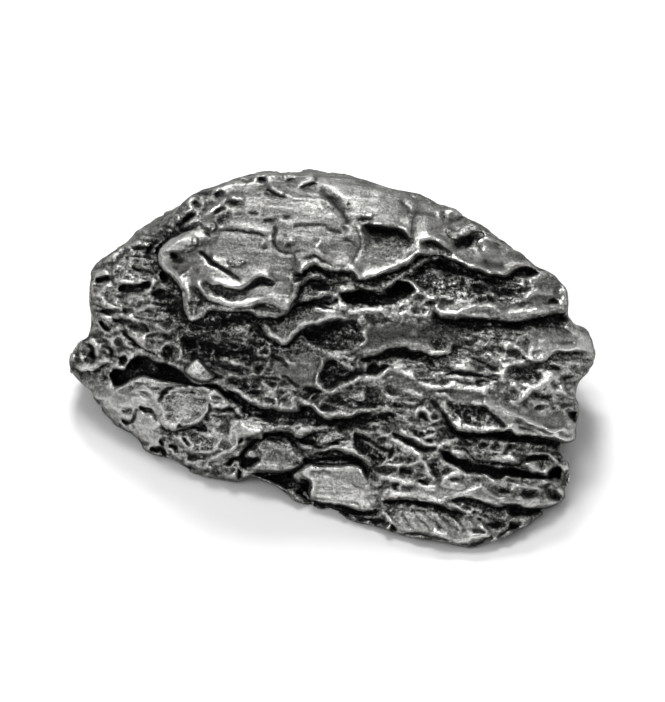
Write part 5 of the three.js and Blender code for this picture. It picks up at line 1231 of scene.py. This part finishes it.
def underside(x, y):
    """How far the underside lies above the floor: shallow hollows round the places that it stands on."""
    hollows = layered_noise((x, y), FOOT_HOLLOWS, 41) - 0.25
    depth = FOOT_DEPTH * ease(hollows, 0.0, 0.55)
    return depth + np.clip(depth, 0, 0.5) * 0.5 * layered_noise((x, y), FOOT_RIPPLES, 43)


def relief_at(front, hidden, layer, x, y, z, facing, level):
    """A layer's value at any place of the lump, from both sheets."""
    u, v, _ = project(x, y, z)
    azimuth = np.degrees(np.arctan2(y - CENTRE_LINE[1], x - CENTRE_LINE[0]))
    girth = ((azimuth + 90) % 360) * GIRTH_PX_PER_DEGREE
    seen = front.at(getattr(front, layer), u, v)
    unseen = hidden.at(getattr(hidden, layer), girth, (WRAP_HEIGHT - z) * PX_PER_MM) * (1 - level)
    return unseen + (seen - unseen) * facing


def silhouette_distance(reach=60, rate=0.5):
    """A sheet with the distance to the silhouette in px: below zero inside it."""
    sheet = Sheet(*FRONT_AREA, rate, stray=0.0)
    area, s, _, _ = sheet.near(smooth_line(SILHOUETTE, closed=True), reach, closed=True)
    sheet.height[:] = reach
    sheet.height[area] = -s
    return sheet


def outline_distance(outline, x, y, z):
    """How far a place lies outside the silhouette's cone, in mm."""
    u, v, depth = project(x, y, z)
    return outline.at(outline.height, u, v) * depth / FOCAL_PX


class Lump:
    """The smooth lump on a coarse grid of heights, rows and columns, read at any place."""

    def __init__(self):
        self.step = COARSE * VOXEL
        self.x, self.y, self.z = (start + self.step * np.arange(int(length / self.step))
                                  for start, length in zip(GRID_CORNER, GRID_SIZE))
        base = lump_field(self.z, self.y, self.x)
        slopes = np.gradient(base, self.step)
        self.layers = [layer.astype(np.float32) for layer in (base, slopes[2], slopes[1], slopes[0])]
        self.shape = base.shape

    def read(self, x, y, z):
        """The field, how upright the normal is, and how far it leans towards the camera, at each place."""
        places = []
        for value, start, count in zip((z, y, x), GRID_CORNER[::-1], self.shape):
            place = np.clip((value - start) / self.step, 0, count - 1.001)
            whole = place.astype(np.int32)
            places.append((whole, (place - whole).astype(np.float32)))
        (iz, fz), (iy, fy), (ix, fx) = places
        results = [np.zeros(len(x), np.float32) for _ in self.layers]
        for corner in range(8):
            a, b, c = corner & 1, corner >> 1 & 1, corner >> 2 & 1
            weight = (fz if a else 1 - fz) * (fy if b else 1 - fy) * (fx if c else 1 - fx)
            for result, layer in zip(results, self.layers):
                result += weight * layer[iz + a, iy + b, ix + c]
        base, *slope = results
        normal = np.column_stack(slope)
        normal /= np.linalg.norm(normal, axis=1)[:, None] + 1e-6
        to_eye = EYE - np.column_stack([x, y, z])
        to_eye /= np.linalg.norm(to_eye, axis=1)[:, None]
        return base, normal[:, 2], (normal * to_eye).sum(axis=1)


def bitten(cut, x, y, z, bites, seed):
    """A cutting field with bites taken out of the surface that it leaves."""
    spots = np.nonzero(np.abs(cut) < NEAR_CUT)[0]
    cut[spots] += np.abs(layered_noise((x[spots], y[spots], z[spots]), bites, seed))
    return cut


def carve(smooth_lump, x, y, z, front, hidden, outline):
    """The field with the relief, the silhouette, the box and the underside, at a list of places."""
    base, upright, lean = smooth_lump.read(x, y, z)
    facing, level = ease(lean, *FACING_FADE), ease(upright, *LEVEL_FADE)
    carved = base - relief_at(front, hidden, "height", x, y, z, facing, level)
    edge = outline_distance(outline, x, y, z)
    behind = 1 - ease(lean, *BEHIND_FADE)
    spots = np.nonzero((facing < 0.9) & (np.abs(np.maximum(carved, edge)) < NEAR_SURFACE))[0]
    places = (x[spots], y[spots], z[spots])
    lumps = layered_noise(places, HIDDEN_LUMPS, 51)
    carved[spots] += (1 - facing[spots]) * (lumps + HIDDEN_INSET)
    unseen = relief_at(front, hidden, "height", *places, 0.0, level[spots])
    edge[spots] += behind[spots] * np.clip(EVEN_BITE - unseen + lumps, 0, DEEPEST_BITE)
    carved = smooth_max(carved, bitten(edge, x, y, z, SILHOUETTE_BITES, 53), SILHOUETTE_ROUND)
    sides = [x - BOX_HIGH[0], BOX_LOW[0] - x, y - BOX_HIGH[1], BOX_LOW[1] - y, z - BOX_HIGH[2]]
    box = np.maximum.reduce(sides)
    carved = smooth_max(carved, bitten(box, x, y, z, BOX_BITES, 55), BOX_ROUND)
    return smooth_max(carved, underside(x, y) - z, FOOT_ROUND)


def build_field(smooth_lump, front, hidden, outline):
    """The carved lump on a grid of voxels, and the grid's first corner. Coarse cells come first, and those
    that hold the surface are then worked out finely."""
    gz, gy, gx = np.meshgrid(smooth_lump.z, smooth_lump.y, smooth_lump.x, indexing="ij")
    rough = carve(smooth_lump, gx.ravel(), gy.ravel(), gz.ravel(), front, hidden, outline).reshape(gz.shape)
    field = rough.astype(np.float32)
    busy = np.abs(rough) < BUSY_CELLS * smooth_lump.step
    for axis in range(3):
        field = np.repeat(field, COARSE, axis)
        busy = np.repeat(busy, COARSE, axis)
    iz, iy, ix = np.nonzero(busy)
    corner = np.array(GRID_CORNER) - 0.5 * (COARSE - 1) * VOXEL
    for start in range(0, len(iz), CARVE_BATCH):
        part = slice(start, start + CARVE_BATCH)
        places = [corner[k] + VOXEL * index[part] for k, index in enumerate((ix, iy, iz))]
        field[iz[part], iy[part], ix[part]] = carve(smooth_lump, *places, front, hidden, outline)
    return field, corner


# The mesh

def mesh_of(field, corner):
    """The surface where the field is zero, as a mesh in metres with its faces outwards."""
    grid = openvdb.FloatGrid(background=FIELD_LIMIT)
    limited = np.clip(field, -FIELD_LIMIT, FIELD_LIMIT)
    grid.copyFromArray(np.ascontiguousarray(limited.transpose(2, 1, 0)), tolerance=0.0)
    points, triangles, quads = grid.convertToPolygons(isovalue=0.0, adaptivity=0.0)
    points = (points * VOXEL + corner) * MM
    mesh = bpy.data.meshes.new("meteorite_surface")
    mesh.vertices.add(len(points))
    mesh.vertices.foreach_set("co", points.astype(np.float32).ravel())
    corners = np.concatenate([triangles[:, ::-1].ravel(), quads[:, ::-1].ravel()])
    sizes = np.concatenate([np.full(len(triangles), 3), np.full(len(quads), 4)])
    mesh.loops.add(len(corners))
    mesh.loops.foreach_set("vertex_index", corners.astype(np.int32))
    mesh.polygons.add(len(sizes))
    mesh.polygons.foreach_set("loop_start", (np.cumsum(sizes) - sizes).astype(np.int32))
    mesh.update(calc_edges=True)
    mesh.validate()
    return mesh


def select_only(piece):
    """Selects one piece and nothing else."""
    for other in bpy.context.selected_objects:
        other.select_set(False)
    piece.select_set(True)
    bpy.context.view_layer.objects.active = piece


def keep_largest_part(piece):
    """Leaves out crumbs that the carving cut loose."""
    select_only(piece)
    bpy.ops.mesh.separate(type="LOOSE")
    parts = sorted(bpy.context.selected_objects, key=lambda part: len(part.data.vertices))
    largest = parts[-1].data
    for crumb in parts:
        if crumb is not piece:
            bpy.data.objects.remove(crumb)
    piece.data = largest


def edit_all(operation, **settings):
    """Runs an operation of edit mode on the whole of the selected piece."""
    bpy.ops.object.mode_set(mode="EDIT")
    bpy.ops.mesh.select_all(action="SELECT")
    operation(**settings)
    bpy.ops.object.mode_set(mode="OBJECT")


def read_vectors(items, name):
    """One row of three numbers for each vertex or face."""
    values = np.empty(len(items) * 3, np.float32)
    items.foreach_get(name, values)
    return values.reshape(-1, 3)


def side_of(smooth_lump, places):
    """Above zero where a place's relief faces the camera, below it elsewhere."""
    return smooth_lump.read(*(places.astype(float) / MM).T)[2] - sum(FACING_FADE) / 2


def thin_out(piece, smooth_lump):
    """Fewer faces where the surface is even, and more of them on the side that has the finest relief."""
    select_only(piece)
    mesh = piece.data
    edit_all(bpy.ops.mesh.quads_convert_to_tris)
    for sign, limit in ((1, SEEN_TRIANGLES), (-1, OTHER_TRIANGLES)):
        faces = side_of(smooth_lump, read_vectors(mesh.polygons, "center"))
        vertices = side_of(smooth_lump, read_vectors(mesh.vertices, "co"))
        group = piece.vertex_groups.new(name="thin")
        group.add(np.nonzero(sign * vertices > 0)[0].tolist(), 1.0, "REPLACE")
        thin = piece.modifiers.new("thin", "DECIMATE")
        thin.vertex_group = group.name
        thin.ratio = min(1.0, 1 - (int((sign * faces > 0).sum()) - limit) / len(faces))
        bpy.ops.object.modifier_apply(modifier=thin.name)
        piece.vertex_groups.clear()
    edit_all(bpy.ops.mesh.normals_make_consistent, inside=False)
    bpy.ops.object.shade_smooth()


# The tone and the grain of worn, plain metal, how far each varies, and how that is spread in mm.
PLAIN_METAL = (("tone", 0.46, 0.09), ("grain", 0.35, 0.15))
MOTTLE = [(4, 4, 4, 1), (1.4, 1.4, 1.4, 0.6)]

# Where the front's tone ends at the outline, and how painted shade darkens the underside's hollows, both by
# depth in mm.
OUTLINE_FADE = (-0.7, -0.2)
HOLLOW_SHADE = 0.12
HOLLOW_DEPTH = 0.8


def paint(piece, smooth_lump, front, hidden, outline):
    """Stores the tone, with its painted shade and highlight, and the grain of the metal at each vertex."""
    mesh = piece.data
    x, y, z = (read_vectors(mesh.vertices, "co").astype(float) / MM).T
    _, upright, lean = smooth_lump.read(x, y, z)
    facing = ease(lean, *FACING_FADE) * (1 - ease(outline_distance(outline, x, y, z), *OUTLINE_FADE))
    level = ease(upright, *LEVEL_FADE)
    below = ease(-read_vectors(mesh.vertices, "normal")[:, 2], 0.5, 0.9) * ease(-z, -3, -0.5)
    mottle = layered_noise((x, y, z), MOTTLE, 61)
    for name, plain, swing in PLAIN_METAL:
        values = relief_at(front, hidden, name, x, y, z, facing, 0.0)
        bare = plain + swing * mottle
        values = values + (bare - values) * np.maximum(below, level * (1 - facing))
        if name == "tone":
            # Painted shade darkens the underside's hollows.
            values = values - HOLLOW_SHADE * below * np.clip(z / HOLLOW_DEPTH, 0, 1)
        mesh.attributes.new(name, "FLOAT", "POINT").data.foreach_set("value", values.astype(np.float32))


def make_meteorite():
    """The finished lump, with its tone and grain."""
    front, hidden, outline, smooth_lump = front_sheet(), hidden_sheet(), silhouette_distance(), Lump()
    mesh = mesh_of(*build_field(smooth_lump, front, hidden, outline))
    piece = bpy.data.objects.new("meteorite_surface", mesh)
    bpy.context.scene.collection.objects.link(piece)
    keep_largest_part(piece)
    thin_out(piece, smooth_lump)
    paint(piece, smooth_lump, front, hidden, outline)
    return piece


# The material

# Greys of the iron from black to bright: place on the ramp, and colour.
IRON_GREYS = [
    (0.0, (0.004, 0.004, 0.004)), (0.2, (0.030, 0.0297, 0.0288)), (0.4, (0.114, 0.113, 0.109)),
    (0.6, (0.26, 0.258, 0.249)), (0.8, (0.52, 0.517, 0.502)), (1.0, (0.74, 0.737, 0.725)),
]

# The fine textures in the metal: scale, detail, roughness, stretch and turn.
TEXTURES = {
    "cloud": (140, 5, 0.55, (1, 1, 1), (0, 0, 0)),
    "speck": (2100, 3, 0.7, (1, 1, 1), (0, 0, 0)),
    "crumb": (1000, 3, 0.6, (1, 1, 1), (0, 0, 0)),
    "streak": (300, 4, 0.55, (0.12, 1.6, 1.6), (0, 0, 0.12)),
    "vein": (420, 4, 0.55, (0.45, 1.2, 1.6), (0, 0.15, 0)),
    "hair": (1000, 3, 0.55, (0.6, 1.1, 1.4), (0, 0.15, 0)),
}

# How narrow the cracks are that follow a vein, and the finer splits that follow a hair, darkened by painted
# shade and oxide.
CRACK_SHARPNESS = 12
SPLIT_SHARPNESS = 8

# How much each texture shades the metal: how that grows with the grain, and how much there is anyway.
CRUMB_SHADE = (0.75, 0.22)
SPECK_SHADE = (1.5, 0.6)
CRACK_SHADE = (0.17, 0.02)
SPLIT_SHADE = (0.11, 0.02)
GLINT_SHADE = (0.26, 0.06)
STREAK_SHADE = 0.26
CLOUD_SHADE = 0.16
SHADE_LIFT = 0.05

# Painted glints brighten the colour where the crumbs, the specks and the tone pass a start: start and gain.
GLINT_CRUMB = (0.54, 7)
GLINT_SPECK = (0.42, 4)
GLINT_TONE = (0.28, 4)

# How much each texture raises the metal, in the same two parts, and the bumps' strength and height in m.
SPECK_BUMP = (0.9, 0.25)
CRUMB_BUMP = (1.2, 0.2)
CRACK_BUMP = (0.5, 0.05)
SPLIT_BUMP = (0.3, 0.05)
STREAK_BUMP = 0.4
BUMP_STRENGTH = 0.7
BUMP_HEIGHT = 0.0004

# The roughness of black metal, what changes it, and its limits.
BLACK_ROUGHNESS = 0.58
SHADE_POLISH = 0.34
GRAIN_ROUGHNESS = 0.08
CRUMB_ROUGHNESS = 0.2
ROUGHNESS_LIMITS = (0.18, 0.9)

# How metallic black metal is, and how fast that grows with the shade.
BLACK_METALLIC = 0.35
METALLIC_GAIN = 1.6
SPECULAR_LEVEL = 0.3
SPECULAR_TINT = (0.45, 0.45, 0.45, 1)


def set_stops(ramp, stops):
    """Sets the stops of a colour ramp, each a place from 0 to 1 and a colour."""
    while len(ramp.elements) < len(stops):
        ramp.elements.new(0.5)
    for element, (place, rgb) in zip(ramp.elements, stops):
        element.position = place
        element.color = (*rgb, 1)


class Value:
    """A socket of a material's nodes, with arithmetic."""

    def __init__(self, tree, socket):
        self.tree, self.socket = tree, socket

    def node(self, kind, output=0, settings=None, **inputs):
        """A new node of any kind: first its settings, then a value or a link for each socket, which goes
        by its name or, as _0 or _1, by its place."""
        made = self.tree.nodes.new(kind)
        for name, setting in (settings or {}).items():
            if name == "stops":
                set_stops(made.color_ramp, setting)
            else:
                setattr(made, name, setting)
        for name, source in inputs.items():
            place = made.inputs[int(name[1:])] if name[0] == "_" else made.inputs[name]
            if isinstance(source, Value):
                self.tree.links.new(source.socket, place)
            else:
                place.default_value = source
        return Value(self.tree, made.outputs[output])

    def maths(self, operation, other=0.0):
        """A number worked out from this one and another."""
        return self.node("ShaderNodeMath", settings={"operation": operation}, _0=self, _1=other)

    def __add__(self, other):
        return self.maths("ADD", other)

    def __sub__(self, other):
        return self.maths("SUBTRACT", other)

    def __mul__(self, other):
        return self.maths("MULTIPLY", other)

    def __rsub__(self, other):
        return self.node("ShaderNodeMath", settings={"operation": "SUBTRACT"}, _0=other, _1=self)

    __radd__ = __add__
    __rmul__ = __mul__

    def clamp(self, low=0.0, high=1.0):
        """This number, kept within two limits."""
        return self.maths("MAXIMUM", low).maths("MINIMUM", high)

    def rise(self, start, gain):
        """Goes from 0 up to 1 at a gain, once this number has passed a start."""
        return ((self - start) * gain).clamp()

    def swing(self):
        """How far this texture lies above or below its middle."""
        return self - 0.5

    def line(self, sharpness):
        """1 where this texture passes its middle, and 0 away from there."""
        return 1.0 - (self.swing().maths("ABSOLUTE") * sharpness).clamp()

    def grow(self, gain, plain):
        """A strength that grows with this number."""
        return self * gain + plain

    def colour(self, stops):
        """The colour on a ramp at this number."""
        return self.node("ShaderNodeValToRGB", output="Color", settings={"stops": stops}, Fac=self)

    def feed(self, node, socket):
        """Links this value to a socket of a node that is there already."""
        self.tree.links.new(self.socket, node.inputs[socket])


def iron_material():
    """Bare iron: satin grey, bright where the tone is high, and rough and nearly black where it is low."""
    material = bpy.data.materials.new("meteoric_iron")
    material.use_nodes = True
    shader = material.node_tree.nodes["Principled BSDF"]
    start = Value(material.node_tree, None)
    place = start.node("ShaderNodeTexCoord", output="Object")

    def texture(scale, detail, roughness, stretch, turn):
        mapped = start.node("ShaderNodeMapping", Vector=place, Scale=stretch, Rotation=turn)
        looks = {"Scale": scale, "Detail": detail, "Roughness": roughness}
        return start.node("ShaderNodeTexNoise", output="Fac", Vector=mapped, **looks)

    def painted(name):
        return start.node("ShaderNodeAttribute", output="Fac", settings={"attribute_name": name})

    tone, grain = painted("tone"), painted("grain")
    cloud, speck, crumb, streak, vein, hair = (texture(*row) for row in TEXTURES.values())
    crack, split = vein.line(CRACK_SHARPNESS), hair.line(SPLIT_SHARPNESS)
    clean = 1.0 - grain

    shade = tone + crumb.swing() * grain.grow(*CRUMB_SHADE) + speck.swing() * grain.grow(*SPECK_SHADE)
    shade = shade + streak.swing() * clean * STREAK_SHADE + cloud.swing() * CLOUD_SHADE
    # Painted shade and oxide darken the cracks and splits.
    shade = shade - crack * grain.grow(*CRACK_SHADE) - split * grain.grow(*SPLIT_SHADE) + SHADE_LIFT
    # Painted glints: bright specks in the base colour.
    glint = crumb.rise(*GLINT_CRUMB) * speck.rise(*GLINT_SPECK)
    shade = (shade + glint * grain.grow(*GLINT_SHADE) * tone.rise(*GLINT_TONE)).clamp()
    shade.colour(IRON_GREYS).feed(shader, "Base Color")

    rough = BLACK_ROUGHNESS - shade * SHADE_POLISH + grain * GRAIN_ROUGHNESS + crumb.swing() * CRUMB_ROUGHNESS
    rough.clamp(*ROUGHNESS_LIMITS).feed(shader, "Roughness")
    shade.grow(METALLIC_GAIN, BLACK_METALLIC).clamp().feed(shader, "Metallic")
    shader.inputs["Specular IOR Level"].default_value = SPECULAR_LEVEL
    shader.inputs["Specular Tint"].default_value = SPECULAR_TINT

    relief = speck * grain.grow(*SPECK_BUMP) + streak * STREAK_BUMP * clean + crumb * grain.grow(*CRUMB_BUMP)
    relief = relief - crack * grain.grow(*CRACK_BUMP) - split * grain.grow(*SPLIT_BUMP)
    bump = start.node("ShaderNodeBump", Height=relief, Strength=BUMP_STRENGTH, Distance=BUMP_HEIGHT)
    bump.feed(shader, "Normal")
    return material


# The floor, the light and the camera

FLOOR_SIZE = 6
FLOOR_COLOUR = (0.83, 0.83, 0.83, 1)
FLOOR_ROUGHNESS = 0.9

# The glow of the sky from the horizon upwards, and its strength.
SKY_GREYS = [(0.0, (0.4, 0.4, 0.4)), (0.35, (0.8, 0.8, 0.8)), (1.0, (1, 1, 1))]
SKY_STRENGTH = 0.56

# The lamps: place, target and size in m, and power.
LAMPS = {
    "key": ((-0.05, 0.20, 0.84), (0, 0, 0.02), (0.36, 0.26), 3.2),
    "back": ((-0.06, 0.56, 0.66), (0, 0, 0.0), (0.22, 0.14), 4.8),
    "fill": ((-0.42, -0.42, 0.55), (0, 0, 0.02), (0.35, 0.35), 1.3),
}


def make_floor():
    """The plain, pale floor that the lump lies on."""
    bpy.ops.mesh.primitive_plane_add(size=FLOOR_SIZE, location=(0, 0, 0))
    floor = bpy.context.object
    floor.name = "floor"
    material = bpy.data.materials.new("floor_white")
    material.use_nodes = True
    shader = material.node_tree.nodes["Principled BSDF"]
    shader.inputs["Base Color"].default_value = FLOOR_COLOUR
    shader.inputs["Roughness"].default_value = FLOOR_ROUGHNESS
    floor.data.materials.append(material)


def make_sky():
    """An even sky that is darker towards the horizon."""
    world = bpy.data.worlds.new("studio")
    bpy.context.scene.world = world
    world.use_nodes = True
    background = world.node_tree.nodes["Background"]
    sky = Value(world.node_tree, None).node("ShaderNodeTexCoord", output="Generated")
    height = sky.node("ShaderNodeSeparateXYZ", output="Z", Vector=sky)
    height.colour(SKY_GREYS).feed(background, "Color")
    background.inputs["Strength"].default_value = SKY_STRENGTH


def make_lamp(name, place, target, size, power):
    """A rectangular lamp that is turned towards its target."""
    data = bpy.data.lights.new(name, "AREA")
    data.shape = "RECTANGLE"
    data.size, data.size_y = size
    data.energy = power
    lamp = bpy.data.objects.new(name, data)
    lamp.location = place
    lamp.rotation_euler = (Vector(target) - Vector(place)).to_track_quat("-Z", "Y").to_euler()
    bpy.context.scene.collection.objects.link(lamp)


def make_camera():
    """The camera at the photo's angle."""
    data = bpy.data.cameras.new("camera")
    data.sensor_fit = "VERTICAL"
    data.sensor_height = SENSOR_MM
    data.lens = FOCAL_PX / PICTURE_SIZE[1] * data.sensor_height
    data.dof.use_dof = False
    camera = bpy.data.objects.new("camera", data)
    camera.location = Vector(EYE) * MM
    camera.rotation_euler = (radians(90) - EYE_ELEVATION, 0, 0)
    bpy.context.scene.collection.objects.link(camera)
    bpy.context.scene.camera = camera


bpy.context.scene.view_settings.view_transform = "Standard"
meteorite = make_meteorite()
meteorite.data.materials.append(iron_material())
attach(meteorite, "root")
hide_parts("meteorite")
make_floor()
make_sky()
for lamp_name, lamp in LAMPS.items():
    make_lamp(lamp_name, *lamp)
make_camera()
